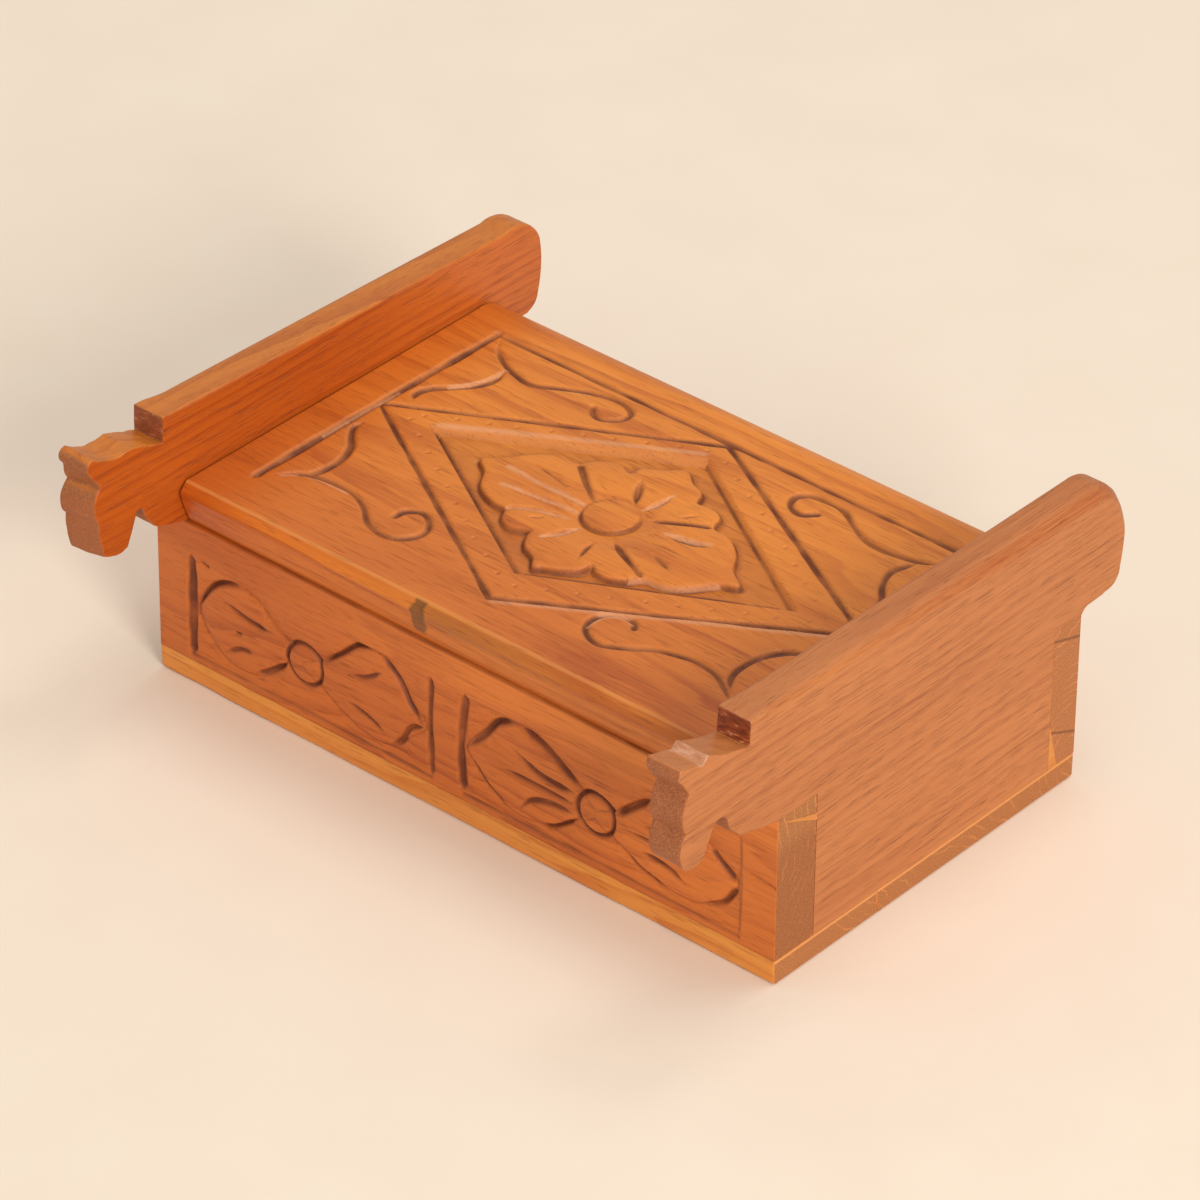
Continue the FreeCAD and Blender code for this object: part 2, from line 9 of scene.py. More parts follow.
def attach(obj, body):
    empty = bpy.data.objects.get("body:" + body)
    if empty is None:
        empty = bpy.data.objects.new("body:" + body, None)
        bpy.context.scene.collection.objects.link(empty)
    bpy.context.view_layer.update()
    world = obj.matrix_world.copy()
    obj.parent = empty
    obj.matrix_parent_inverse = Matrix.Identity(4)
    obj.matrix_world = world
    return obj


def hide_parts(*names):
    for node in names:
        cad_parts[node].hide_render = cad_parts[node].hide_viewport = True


# Carved keepsake box. Lengths are written in millimetres and become metres when a mesh
# is made. X runs along the box, -Y is the carved front, Z is up.

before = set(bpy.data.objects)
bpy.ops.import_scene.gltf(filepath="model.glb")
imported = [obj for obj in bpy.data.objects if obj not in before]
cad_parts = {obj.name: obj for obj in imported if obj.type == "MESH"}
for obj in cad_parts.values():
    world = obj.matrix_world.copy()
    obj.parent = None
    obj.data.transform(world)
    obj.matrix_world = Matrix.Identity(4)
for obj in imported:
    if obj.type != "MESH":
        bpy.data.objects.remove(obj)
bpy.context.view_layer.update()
METRE = 0.001

# Places that the boards share.
HALF_LENGTH = 95.0
FRONT = -54.5
FRONT_INSIDE = FRONT + 13.5
BACK = 54.5
BACK_INSIDE = BACK - 10.0
BASE_TOP = 6.5
BASE_JOINT = -18.0
WALL_TOP = 45.5
BACK_TOP = WALL_TOP - 0.3
BOARD_RISE = 32.0
INNER_FACE = 85.6
LID_HALF = 85.25
LID_TOP = 57.1
PIVOT_Y = 51.5
PIVOT_Z = 51.2

# The wedges' slots begin here and run to the right end. The rear wedge narrows upwards.
SLOT_END = HALF_LENGTH - 8.0
REAR_WEDGE_TIP = 19.0
REAR_WEDGE_RISE = 14.0
REAR_WEDGE_LEAN = 3.6 / REAR_WEDGE_RISE

# Spacing of the points on a carved face.
FINE = 0.36


# Small tools for lines and surfaces.

def smooth(share):
    """Eases a share from 0 to 1."""
    share = np.clip(share, 0.0, 1.0)
    return share * share * (3.0 - 2.0 * share)


def ripple(x, y, cell, seed):
    """Gentle hills between -1 and 1, about one cell wide, the same on every run."""
    count = 128
    grid = np.random.default_rng(seed).uniform(-1.0, 1.0, (count, count))
    u, v = np.asarray(x, float) / cell, np.asarray(y, float) / cell
    i, j = np.floor(u).astype(int), np.floor(v).astype(int)
    a, b = smooth(u - i), smooth(v - j)

    def row(n):
        return grid[i % count, n % count] * (1 - a) + grid[(i + 1) % count, n % count] * a

    return row(j) * (1 - b) + row(j + 1) * b


def flowing(points, closed=False, steps=7):
    """A smooth line through the points."""
    points = [np.array(p, float) for p in points]
    count = len(points)
    line = []
    for n in range(count if closed else count - 1):
        near = range(n - 1, n + 3)
        a, b, c, d = (points[k % count if closed else min(max(k, 0), count - 1)] for k in near)
        for step in range(steps):
            t = step / steps
            line.append(0.5 * (2 * b + (c - a) * t + (2 * a - 5 * b + 4 * c - d) * t ** 2
                               + (3 * b - a - 3 * c + d) * t ** 3))
    if not closed:
        line.append(points[-1])
    return np.array(line)


def bend(start, middle, end, steps):
    """Points of the arc through three points, without its start."""
    (ax, ay), (bx, by), (cx, cy) = start, middle, end
    turn = 2 * (ax * (by - cy) + bx * (cy - ay) + cx * (ay - by))
    squares = [p[0] ** 2 + p[1] ** 2 for p in (start, middle, end)]
    ux = (squares[0] * (by - cy) + squares[1] * (cy - ay) + squares[2] * (ay - by)) / turn
    uy = (squares[0] * (cx - bx) + squares[1] * (ax - cx) + squares[2] * (bx - ax)) / turn
    radius = math.hypot(ax - ux, ay - uy)
    first, mid, last = (math.atan2(p[1] - uy, p[0] - ux) for p in (start, middle, end))
    whole = 2 * math.pi
    sweep = (last - first) % whole
    if (mid - first) % whole > sweep:
        sweep -= whole
    angles = [first + sweep * (n + 1) / steps for n in range(steps)]
    return [(ux + radius * math.cos(a), uy + radius * math.sin(a)) for a in angles]


def outline(steps, spacing):
    """A closed outline with points about one spacing apart. A step is (end,) for a straight
    edge or (end, middle) for an arc."""
    points = []
    last = steps[-1][0]
    for step in steps:
        end = step[0]
        if len(step) == 2:
            count = max(4, int(math.dist(last, end) * 1.25 / spacing))
            points += bend(last, step[1], end, count)
        else:
            count = max(1, int(math.dist(last, end) / spacing))
            points += [tuple(np.array(last) + (np.array(end) - np.array(last)) * (n + 1) / count)
                       for n in range(count)]
        last = end
    return np.array(points)


def inward(points):
    """Directions into a closed outline, one for each point, longer at the corners."""
    ahead = np.roll(points, -1, 0) - points
    ahead /= np.linalg.norm(ahead, axis=1)[:, None]
    both = ahead + np.roll(ahead, 1, 0)
    x, y = points[:, 0], points[:, 1]
    turning = np.sign(np.sum(x * np.roll(y, -1) - np.roll(x, -1) * y))
    normal = np.stack([-both[:, 1], both[:, 0]], 1) * turning
    normal /= np.maximum(np.linalg.norm(normal, axis=1), 1e-6)[:, None]
    edge = np.stack([-ahead[:, 1], ahead[:, 0]], 1) * turning
    lean = np.maximum(np.sum(normal * edge, 1), 0.55)
    return normal / lean[:, None]


# Making meshes.

def placed(name, data):
    """A new object in the scene."""
    made = bpy.data.objects.new(name, data)
    bpy.context.scene.collection.objects.link(made)
    return made


def turn_out(mesh):
    """Turns the faces of a closed mesh outwards if they face inwards."""
    mesh.calc_loop_triangles()
    corners = np.zeros(len(mesh.loop_triangles) * 3, np.int32)
    mesh.loop_triangles.foreach_get("vertices", corners)
    places = np.zeros(len(mesh.vertices) * 3, np.float32)
    mesh.vertices.foreach_get("co", places)
    a, b, c = places.reshape(-1, 3)[corners.reshape(-1, 3)].transpose(1, 0, 2).astype(float)
    if np.sum(a * np.cross(b, c)) < 0:
        mesh.flip_normals()


def piece(name, points, faces, flat_faces, body, node, slot, finish, marks):
    """A closed piece from points in millimetres, smooth but for the flat faces, with its body,
    the node that it stands for and its finish."""
    mesh = bpy.data.meshes.new(name)
    mesh.from_pydata((np.asarray(points) * METRE).tolist(), [], faces + flat_faces)
    rounded = np.ones(len(mesh.polygons), bool)
    rounded[len(faces):] = False
    mesh.polygons.foreach_set("use_smooth", rounded)
    for word, values in marks.items():
        whole = np.zeros(len(points), np.float32)
        whole[:values.size] = values.ravel()
        mesh.attributes.new(word, "FLOAT", "POINT").data.foreach_set("value", whole)
    mesh.validate()
    mesh.update()
    turn_out(mesh)
    mesh.materials.append(finish)
    made = placed(name, mesh)
    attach(made, body)
    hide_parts(node)


def skin(rings, bores=()):
    """Faces of a row of rings with an end at each side. A bore is (which end, middle, radius,
    depth) and goes into that end, along X."""
    count = rings.shape[1]
    round_count = 32
    points = rings.reshape(-1, 3).tolist()
    faces = []
    for n in range(rings.shape[0] - 1):
        a = n * count
        b = a + count
        faces += [(a + k, a + (k + 1) % count, b + (k + 1) % count, b + k) for k in range(count)]
    ends = []
    for last in (False, True):
        start = (rings.shape[0] - 1) * count if last else 0
        rim = list(range(start, start + count))
        bore = [b for b in bores if b[0] == last]
        if not bore:
            ends.append(tuple(rim if last else rim[::-1]))
            continue
        _, (mid_y, mid_z), radius, depth = bore[0]
        x = points[start][0]
        inside = x - depth if last else x + depth
        turns = [2 * math.pi * k / round_count for k in range(round_count)]
        mouth = len(points)
        for along in (x, inside):
            points += [[along, mid_y + radius * math.cos(t), mid_z + radius * math.sin(t)]
                       for t in turns]
        hole = list(range(mouth, mouth + round_count))
        floor = [k + round_count for k in hole]
        numbers = rim + hole
        flat = [[Vector((points[k][1], points[k][2], 0.0)) for k in loop] for loop in (rim, hole)]
        for corner in tessellate_polygon(flat):
            corner = tuple(numbers[k] for k in corner)
            a, b, c = (Vector(points[k]) for k in corner)
            facing = (b - a).cross(c - a).x > 0
            ends.append(corner if facing == last else corner[::-1])
        for k in range(round_count):
            after = (k + 1) % round_count
            wall = (hole[k], hole[after], floor[after], floor[k])
            faces.append(wall if last else wall[::-1])
        ends.append(tuple(floor if last else floor[::-1]))
    return np.array(points), faces, ends


def board(name, rings, body, node, slot, finish, bores=(), marks=None):
    """A piece from a row of rings."""
    piece(name, *skin(rings, bores), body, node, slot, finish, marks or {})


# Shares of a rounded edge, from the flat end face to the long faces.
ROUND_SHARES = (1.0, 0.62, 0.3, 0.08, 0.0)


def round_back(share):
    """How far back from the end face, in radii, the edge is inset by this share."""
    return 1 - math.sqrt(1 - (1 - share) ** 2)


def rings_along_x(profile, half, radius, middle):
    """Rings of one outline along X, with the edges of both ends rounded."""
    ends = [(half - radius * round_back(share), share) for share in ROUND_SHARES]
    stations = [(-x, share) for x, share in ends] + [(x, 0.0) for x in middle] + ends[::-1]
    into = inward(profile)
    rings = np.zeros((len(stations), len(profile), 3))
    for ring, (x, share) in zip(rings, stations):
        ring[:, 0] = x
        ring[:, 1:] = profile + into * (radius * share)
    return rings


def fine_places(half, ease):
    """Closely spaced places between the rounded ends of a carved board."""
    return np.linspace(-half + ease, half - ease, int(2 * half / FINE))[1:-1]


def with_slot_end(places):
    """Adds a pair of places where a slot begins."""
    apart = [x for x in places if abs(x - SLOT_END) > 0.1]
    return np.sort(np.concatenate([apart, [SLOT_END - 0.01, SLOT_END]]))


def in_slot(x):
    """Whether a place along X lies in a slot."""
    return x >= SLOT_END - 0.001


# Carving with strokes of a knife: each stroke is a line with its own width and depth.

# How round the floor of a cut is, as a share of its half width.
ROUND_FLOOR = 0.15


def v_cut(away):
    """Depth share of a V cut, by the distance from its middle in half widths."""
    return np.clip(1 + ROUND_FLOOR - np.sqrt(away ** 2 + ROUND_FLOOR ** 2), 0, 1)


def beside(x, y, start, end):
    """How far along a straight line each place lies, from 0 to 1, and how far from it."""
    run, rise = end[0] - start[0], end[1] - start[1]
    square = max(run ** 2 + rise ** 2, 1e-9)
    along = np.clip(((x - start[0]) * run + (y - start[1]) * rise) / square, 0, 1)
    return along, np.hypot(x - start[0] - along * run, y - start[1] - along * rise)


def band(values, middle, half):
    """1 at the middle, falling to 0 at this distance on both sides."""
    return np.clip(1 - np.abs(values - middle) / half, 0, 1)


class Carving:
    """A flat face of wood as a fine grid, the strokes cut into it."""

    def __init__(self, across, up):
        self.across = across
        self.up = up
        self.x, self.y = np.meshgrid(across, up, indexing="ij")
        self.form, self.cut, self.bare, self.soil, self.gleam = np.zeros((5,) + self.x.shape)

    def patch(self, low, high):
        """The part of the grid between two corners."""
        i0, i1 = np.searchsorted(self.across, [low[0], high[0]])
        j0, j1 = np.searchsorted(self.up, [low[1], high[1]])
        return np.s_[i0:i1, j0:j1]

    def deepen(self, depth, spot=np.s_[:, :]):
        """Cuts to this depth where the wood isn't cut deeper already."""
        self.cut[spot] = np.maximum(self.cut[spot], depth)

    def stroke(self, line, width, depth, ends=(0.3, 0.3)):
        """A V cut along the line, thinner towards its ends by these shares of its length."""
        line = np.asarray(line, float)
        steps = np.linalg.norm(np.diff(line, axis=0), axis=1)
        gone = np.concatenate([[0.0], np.cumsum(steps)])
        half = width / 2
        widest = 1.12
        room = half * (widest + 0.01)
        for n, (start, end) in enumerate(zip(line, line[1:])):
            spot = self.patch(np.minimum(start, end) - room, np.maximum(start, end) + room)
            x, y = self.x[spot], self.y[spot]
            if x.size == 0 or steps[n] < 1e-6:
                continue
            along, away = beside(x, y, start, end)
            share = (gone[n] + along * steps[n]) / gone[-1]
            thin = 1 + 0.15 * ripple(x, y, 4.3, 51) + 0.1 * ripple(x, y, 9.0, 52)
            for left, fade in ((share, ends[0]), (1 - share, ends[1])):
                if fade > 0:
                    thin = thin * (0.25 + 0.75 * smooth(left / fade))
            self.deepen(v_cut(away / (half * np.minimum(thin, widest))) * depth * thin, spot)

    def dot(self, x, y, radius, depth):
        """A round punched mark."""
        spot = self.patch((x - radius, y - radius), (x + radius, y + radius))
        away = np.hypot(self.x[spot] - x, self.y[spot] - y) / radius
        self.deepen(depth * np.sqrt(np.clip(1 - away ** 2, 0, 1)), spot)

    def ring(self, x, y, radius, width, depth):
        """A round groove whose middle runs at the radius."""
        away = np.abs(np.hypot(self.x - x, self.y - y) - radius)
        self.deepen(depth * v_cut(away / (width / 2)))

    def paint_shade(self, where, share):
        """Painted shade at the foot of walls and under edges; along the flower's foot it stands for dirt
        as well.
        """
        np.maximum(self.soil, share * np.clip(where, 0, 1), out=self.soil)

    def paint_highlight(self, where, share):
        """A painted highlight."""
        np.maximum(self.gleam, share * np.clip(where, 0, 1), out=self.gleam)

    def paint_highlight_along(self, line, width, share):
        """A painted highlight along the flank of a cut."""
        for start, end in zip(line, line[1:]):
            away = beside(self.x, self.y, start, end)[1]
            self.paint_highlight(1.6 - 1.6 * away / (width / 2), share)

    def inside(self, closed_line):
        """Distance into a closed line: positive inside, negative outside."""
        line = np.asarray(closed_line, float)
        spot = self.patch(line.min(0) - 6, line.max(0) + 6)
        x, y = self.x[spot], self.y[spot]
        nearest = np.full(x.shape, 1e9)
        crossings = np.zeros(x.shape, int)
        for (ax, ay), (bx, by) in zip(line, np.roll(line, -1, 0)):
            np.minimum(nearest, beside(x, y, (ax, ay), (bx, by))[1], out=nearest)
            if ay != by:
                crossings += ((ay > y) != (by > y)) & (x < (bx - ax) * (y - ay) / (by - ay) + ax)
        depth = np.full(self.x.shape, -1e9)
        depth[spot] = np.where(crossings % 2 == 1, nearest, -nearest)
        return depth

    def marks_on(self, rings, first, last):
        """Dirt and painted shade, bare flank and painted highlight from 0 to 1, for all the points of
        the rings. The carving lies between the first and the last point of each ring."""
        slope = np.hypot(*np.gradient(self.form - self.cut, self.across, self.up))
        bare = np.clip(self.cut * 2.5 + 0.4 * (self.form < -0.05) + self.bare, 0, 1)
        dirt_and_shade = np.clip(np.maximum(self.cut, self.soil), 0, 1) * (1 - 0.8 * self.gleam)
        flank = smooth((slope - 0.12) / 0.5) * bare
        marks = {}
        for word, values in (("cut", dirt_and_shade), ("flank", flank), ("gleam", self.gleam)):
            marks[word] = np.zeros(rings.shape[:2])
            marks[word][:, first:last] = values
        return marks


def across_of(rings):
    """The places of the rings along X, a hair apart, so that no two are the same."""
    return rings[:, 0, 0] + np.arange(len(rings)) * 1e-9


def on_lid(points):
    """Lid points measured from the box's left end and front face."""
    return [(x - HALF_LENGTH, y + FRONT) for x, y in points]


def on_front(points):
    """Front points measured from the box's left end and underside."""
    return [(x - HALF_LENGTH, z) for x, z in points]


# Materials. A Wire is a value or colour on its way through a finish's nodes.

class Wire:
    def __init__(self, finish, socket):
        self.finish = finish
        self.socket = socket

    def reckon(self, operation, *others):
        return self.finish.node("ShaderNodeMath", {"operation": operation},
                                dict(enumerate((self,) + others)))

    def __add__(self, other):
        return self.reckon("ADD", other)

    def __sub__(self, other):
        return self.reckon("SUBTRACT", other)

    def __rsub__(self, other):
        return self.finish.node("ShaderNodeMath", {"operation": "SUBTRACT"}, {0: other, 1: self})

    def __mul__(self, other):
        return self.reckon("MULTIPLY", other)

    def __truediv__(self, other):
        return self.reckon("DIVIDE", other)

    def __pow__(self, other):
        return self.reckon("POWER", other)

    __radd__ = __add__
    __rmul__ = __mul__

    def between(self, low, high):
        """Eases from 0 at low to 1 at high."""
        return self.finish.node(
            "ShaderNodeMapRange", {"interpolation_type": "SMOOTHSTEP"},
            {"Value": self, "From Min": low, "From Max": high})


def tint(red, green, blue):
    """A colour from its everyday 0 to 255 numbers."""
    def linear(level):
        level /= 255.0
        return level / 12.92 if level <= 0.04045 else ((level + 0.055) / 1.055) ** 2.4
    return linear(red), linear(green), linear(blue)


class Finish:
    """A node material that ends in one Principled shader."""

    def __init__(self, name):
        self.material = bpy.data.materials.new(name)
        self.material.use_nodes = True
        self.nodes = self.material.node_tree.nodes
        self.links = self.material.node_tree.links
        self.nodes.clear()
        self.shader = self.nodes.new("ShaderNodeBsdfPrincipled")
        out = self.nodes.new("ShaderNodeOutputMaterial")
        self.links.new(self.shader.outputs[0], out.inputs[0])

    def fill(self, socket, value):
        if isinstance(value, Wire):
            self.links.new(value.socket, socket)
        elif socket.type == "RGBA":
            socket.default_value = (*value, 1.0)
        else:
            socket.default_value = value

    def node(self, kind, settings, sockets, output=0):
        made = self.nodes.new(kind)
        for word, value in settings.items():
            setattr(made, word, value)
        for word, value in sockets.items():
            self.fill(made.inputs[word], value)
        return Wire(self, made.outputs[output])

    def mix(self, share, first, second, blend="MIX"):
        """A colour between two colours."""
        return self.node("ShaderNodeMix", {"data_type": "RGBA", "blend_type": blend},
                         {0: share, 6: first, 7: second}, 2)

    def noise(self, vector, stretch, detail=2.0, rough=0.5):
        stretched = self.node("ShaderNodeVectorMath", {"operation": "MULTIPLY"},
                              {0: vector, 1: stretch})
        return self.node("ShaderNodeTexNoise", {"noise_dimensions": "3D"},
                         {"Vector": stretched, "Scale": 1.0, "Detail": detail, "Roughness": rough})

    def set(self, **sockets):
        for word, value in sockets.items():
            self.fill(self.shader.inputs[word.replace("_", " ")], value)


# Each board is cut from another spot of the timber: its shift in X, Y and Z by these parts.
SHIFT_PARTS = (1.0, 0.7, 0.4)


class Wood(Finish):
    """Oiled hardwood. The fibres run along X or Y, the growth rings curve about the pith, which
    is given in millimetres across the fibres, and the board's ends show end grain. The colours
    are pale and deep along the fibres, then pale and deep at the ends."""

    def __init__(self, name, along, pith, colours, ring_gap, shift=0.0, wander=26.0,
                 contrast=1.0, fine=1.0, rays=0.5):
        super().__init__(name)
        pale, deep, end_pale, end_deep = (tint(*colour) for colour in colours)
        place = self.node("ShaderNodeTexCoord", {}, {}, "Object")
        self.shift = [shift * part for part in SHIFT_PARTS]
        timber = self.node("ShaderNodeVectorMath", {"operation": "MULTIPLY_ADD"},
                           {0: place, 1: (1 / METRE,) * 3, 2: self.shift})
        facing = self.node("ShaderNodeTexCoord", {}, {}, "Normal")
        self.axes, self.ways = (
            [self.node("ShaderNodeSeparateXYZ", {}, {"Vector": vector}, k) for k in range(3)]
            for vector in (timber, facing))
        fibre_axis = "XY".index(along)
        fibre, wide, high = self.axes[fibre_axis], self.axes[1 - fibre_axis], self.axes[2]
        self.lay = self.node("ShaderNodeCombineXYZ", {}, {"X": fibre, "Y": wide, "Z": high})

        # growth rings
        slow = self.grainy((0.006, 0.03, 0.03))
        drift = self.grainy((0.02, 0.25, 0.25))
        off_wide = wide - pith[0]
        off_high = high - pith[1]
        girth = (off_wide * off_wide + off_high * off_high) ** 0.5
        girth = girth + (slow - 0.5) * wander + (drift - 0.5) * 3.0
        beat = (girth / ring_gap).reckon("FRACT")
        ring_end = 1 - beat.between(0.93, 1.0)
        strength = self.grainy((0.012, 0.11, 0.11), 1.0).between(0.35, 0.7)
        rings = beat.between(0.35, 0.93) * ring_end * (0.3 + 0.7 * strength)

        # fibres and open pores
        self.fibres = self.grainy((0.035, 1.5 * fine, 1.5 * fine), 4.0, 0.65)
        pores = self.grainy((0.13, 3.0 * fine, 3.0 * fine), 1.0, 0.4).between(0.62, 0.75)
        patches = self.grainy((0.012, 0.05, 0.05), 3.0)
        figure = rings * 0.55 + (self.fibres - 0.5) * 0.9 + (patches - 0.5) * 0.7
        self.colour = self.mix(figure * contrast + 0.2, pale, deep)
        self.paint(pores * 0.36, [level * 0.42 for level in deep])

        # ends of the fibres
        self.speck = self.grainy((1.0, 2.6, 2.6), 2.0, 0.6)
        self.ends = self.ways[fibre_axis].reckon("ABSOLUTE").between(0.55, 0.85)
        end_rings = beat.between(0.78, 0.9) * ring_end * strength
        end_colour = self.mix((self.speck - 0.5) * 2.4 + 0.55, end_deep, end_pale)
        end_colour = self.mix(end_rings * rays, end_colour,
                              [min(1.0, level * 1.5) for level in end_pale])
        self.paint(self.ends, end_colour)

        self.sheen = 0.43 + (self.fibres - 0.5) * 0.25 + pores * 0.15 + self.ends * 0.22
        self.relief = self.fibres * 0.35 - pores * 0.8 + (self.speck - 0.5) * self.ends * 1.2

    def grainy(self, stretch, detail=2.0, rough=0.5):
        """Noise along the fibres, across them and upwards."""
        return self.noise(self.lay, stretch, detail, rough)

    def where(self, axis):
        """A coordinate of the box in millimetres."""
        return self.axes[axis] - self.shift[axis]

    def paint(self, share, colour):
        """Lays a colour over the wood."""
        self.colour = self.mix(share, self.colour, colour)

    def tone(self, share, factors):
        """Makes the wood's red, green and blue stronger or weaker."""
        self.colour = self.mix(share, self.colour, factors, "MULTIPLY")

    def carved(self, dark, dusty):
        """Adds the look of knife cuts: bare wood on their flanks, dark dirt and painted shade in their
        depth and at the foot of walls, and painted highlights."""
        cut, flank, gleam = (
            self.node("ShaderNodeAttribute", {"attribute_name": word}, {}, 2)
            for word in ("cut", "flank", "gleam"))
        chatter = self.grainy((0.6, 2.0, 2.0), 2.0, 0.6)
        dirt_and_shade = self.grainy((0.09, 0.14, 0.14)).between(0.3, 0.65)
        self.paint(flank * (0.55 + (chatter - 0.5) * 0.9), tint(*dusty))
        # dirt and painted shade in the cuts' depth, and painted shade at the foot of walls
        self.paint(cut.between(0.15, 0.85) * (0.5 + 0.42 * dirt_and_shade), tint(*dark))
        # painted highlights on the flanks that face the light
        self.paint(gleam * (0.62 + (chatter - 0.5) * 0.9), tint(228, 172, 132))
        self.sheen = self.sheen + flank * 0.16
        self.relief = self.relief + (chatter - 0.5) * flank * 1.5

    def finished(self, bump=0.09):
        ridge = self.node("ShaderNodeBump", {}, {"Strength": 1.0, "Distance": bump * METRE,
                                                 "Height": self.relief})
        self.set(Base_Color=self.colour, Roughness=self.sheen, Specular_IOR_Level=0.42,
                 Normal=ridge)
        return self.material


# Finishes of the boards.

def lid_finish():
    wood = Wood("lid oiled wood", "X", (-38.0, -70.0),
                ((216, 124, 46), (160, 68, 17), (186, 104, 46), (140, 70, 26)), 4.4, contrast=0.82)
    length, wide, high = (wood.where(axis) for axis in range(3))
    # paler to the rear; redder at the left end, a painted shade beside the left board
    wood.tone(1.0, wood.mix(wide.between(-52.0, 14.0), (0.97, 0.88, 0.76), (1.19, 1.3, 1.08)))
    wood.tone(1 - length.between(-82.0, -56.0), (0.86, 0.71, 0.56))
    wood.carved((96, 39, 8), (204, 128, 70))
    # the front edge, with a knot, the dark trail that runs from it and a painted highlight along the
    # arris
    edge_face = 1 - wide.between(FRONT - 0.4, FRONT + 0.2)
    wood.tone(edge_face, wood.mix(length.between(-70.0, 25.0), (1.04, 0.96, 0.5), (1.07, 1.24, 1.42)))
    wobble = (wood.grainy((0.2, 0.3, 0.3)) - 0.5) * 4.0
    wavy = length + wobble
    knot = wavy.between(-13.2, -12.0) * (1 - wavy.between(-9.4, -8.0)) * edge_face
    facet = edge_face * (high + wobble * 0.15).between(51.6, 53.2) * (1 - high.between(56.2, 56.8))
    trail = wavy.between(-11.0, -7.0) * (1 - length.between(-4.0, 46.0)) * facet
    wood.paint(knot * 0.72 + trail * 0.36, tint(96, 62, 24))
    # a painted highlight along the arris
    arris = high.between(56.45, 56.8) * (1 - wide.between(FRONT + 0.2, FRONT + 0.7))
    wood.paint(arris * 0.32, tint(240, 170, 98))
    return wood.finished()


def front_finish():
    wood = Wood("front oiled wood", "X", (-95.0, 60.0),
                ((212, 114, 41), (168, 74, 21), (174, 104, 56), (126, 68, 33)), 2.6,
                shift=37.0, fine=1.4)
    length, high = wood.where(0), wood.where(2)
    # painted light and shade: paler to the right, where the light falls, and most of all along the top
    # rail, lifting the shade under the lid; the rail's left end is darker
    wood.tone(1.0, wood.mix(length.between(-20.0, 80.0), (0.97, 0.94, 0.86), (1.08, 1.13, 1.1)))
    wood.tone(high.between(33.0, 41.0),
              wood.mix(length.between(-75.0, 5.0), (0.87, 0.77, 0.54), (1.17, 1.33, 1.45)))
    wood.carved((96, 36, 7), (180, 100, 52))
    return wood.finished()


def back_finish():
    wood = Wood("back oiled wood", "X", (110.0, 40.0),
                ((204, 112, 46), (164, 76, 26), (197, 125, 72), (154, 91, 48)), 2.6, shift=81.0)
    length, wide, high = (wood.where(axis) for axis in range(3))
    right_end = wood.ends * length.between(0.0, 1.0)
    # two drying checks fall across the right end
    for check_high, fall in ((42.5, 0.31), (17.0, 0.43)):
        off = high - check_high + (wide - BACK_INSIDE) * fall + (wood.speck - 0.5) * 0.9
        check = (1 - off.reckon("ABSOLUTE").between(0.05, 0.5)) * right_end
        wood.paint(check * 0.55, tint(96, 50, 24))
        wood.relief = wood.relief - check * 2.0
    return wood.finished()


def base_finish():
    wood = Wood("base oiled wood", "X", (-20.0, -60.0),
                ((234, 153, 66), (204, 110, 38), (194, 124, 69), (155, 93, 48)), 3.4, shift=150.0)
    # a pale line along the joint on the base's ends
    pale_joint_line = wood.ends * wood.where(2).between(BASE_TOP - 0.9, BASE_TOP - 0.5)
    wood.paint(pale_joint_line * 0.85, tint(232, 156, 88))
    return wood.finished()


def end_finish(word):
    left = word == "left"
    if left:
        colours = ((212, 114, 38), (160, 62, 12), (180, 106, 60), (142, 77, 40))
        pith_x, shift, chipped = -40.0, 210.0, 0.55
    else:
        colours = ((200, 124, 67), (162, 84, 38), (190, 116, 70), (134, 70, 37))
        pith_x, shift, chipped = 40.0, 260.0, 0.95
    wood = Wood(word + " end oiled wood", "Y", (pith_x, -170.0), colours, 2.7, shift=shift,
                wander=9.0, contrast=0.7, fine=2.3, rays=0.14)
    fore, above = wood.where(1), wood.where(2)
    side_way, rear_way, up_way = wood.ways
    # the sawn step behind each head is dark and chipped
    step_face = (rear_way * -1.0).between(0.5, 0.8) * above.between(69.0, 70.0)
    step_face = step_face * fore.between(-70.0, -68.0)
    torn = wood.grainy((0.5, 0.35, 1.3), 3.0, 0.6)
    torn_wood = wood.mix(torn.between(0.35, 0.6), tint(108, 42, 14), tint(160, 72, 28))
    torn_wood = wood.mix(torn.between(0.6, 0.66) * 0.8, torn_wood, tint(218, 156, 110))
    wood.paint(step_face * chipped, torn_wood)
    wood.relief = wood.relief + torn * step_face * 4.0
    if left:
        # painted light: paler upper faces, lit from above; painted shade on the inner face, darker in
        # front beside the lid
        wood.tone(up_way.between(0.3, 0.8), (1.02, 1.26, 1.3))
        wear_and_shade = side_way.between(0.4, 0.9) * (1 - fore.between(-10.0, 50.0))
        wood.tone(wear_and_shade, (0.86, 0.7, 0.45))
    else:
        # a painted highlight on the riser on top of the head, and the darkened worn round of the upper
        # edge
        riser_highlight = above.between(72.6, 73.6) * up_way.between(0.15, 0.4)
        riser_highlight = riser_highlight * fore.between(-83.0, -81.4) * (1 - fore.between(-79.4, -78.6))
        wood.paint(riser_highlight * (0.35 + torn.between(0.4, 0.6) * 0.5), tint(214, 162, 130))
        rounded = up_way.between(0.12, 0.4) * (1 - 0.6 * up_way.between(0.8, 0.97))
        wear_and_shade = rounded * fore.between(-55.0, 20.0) * (0.55 + (wood.fibres - 0.5) * 2.2)
        wood.tone(wear_and_shade, (0.72, 0.5, 0.38))
    return wood.finished(0.1)


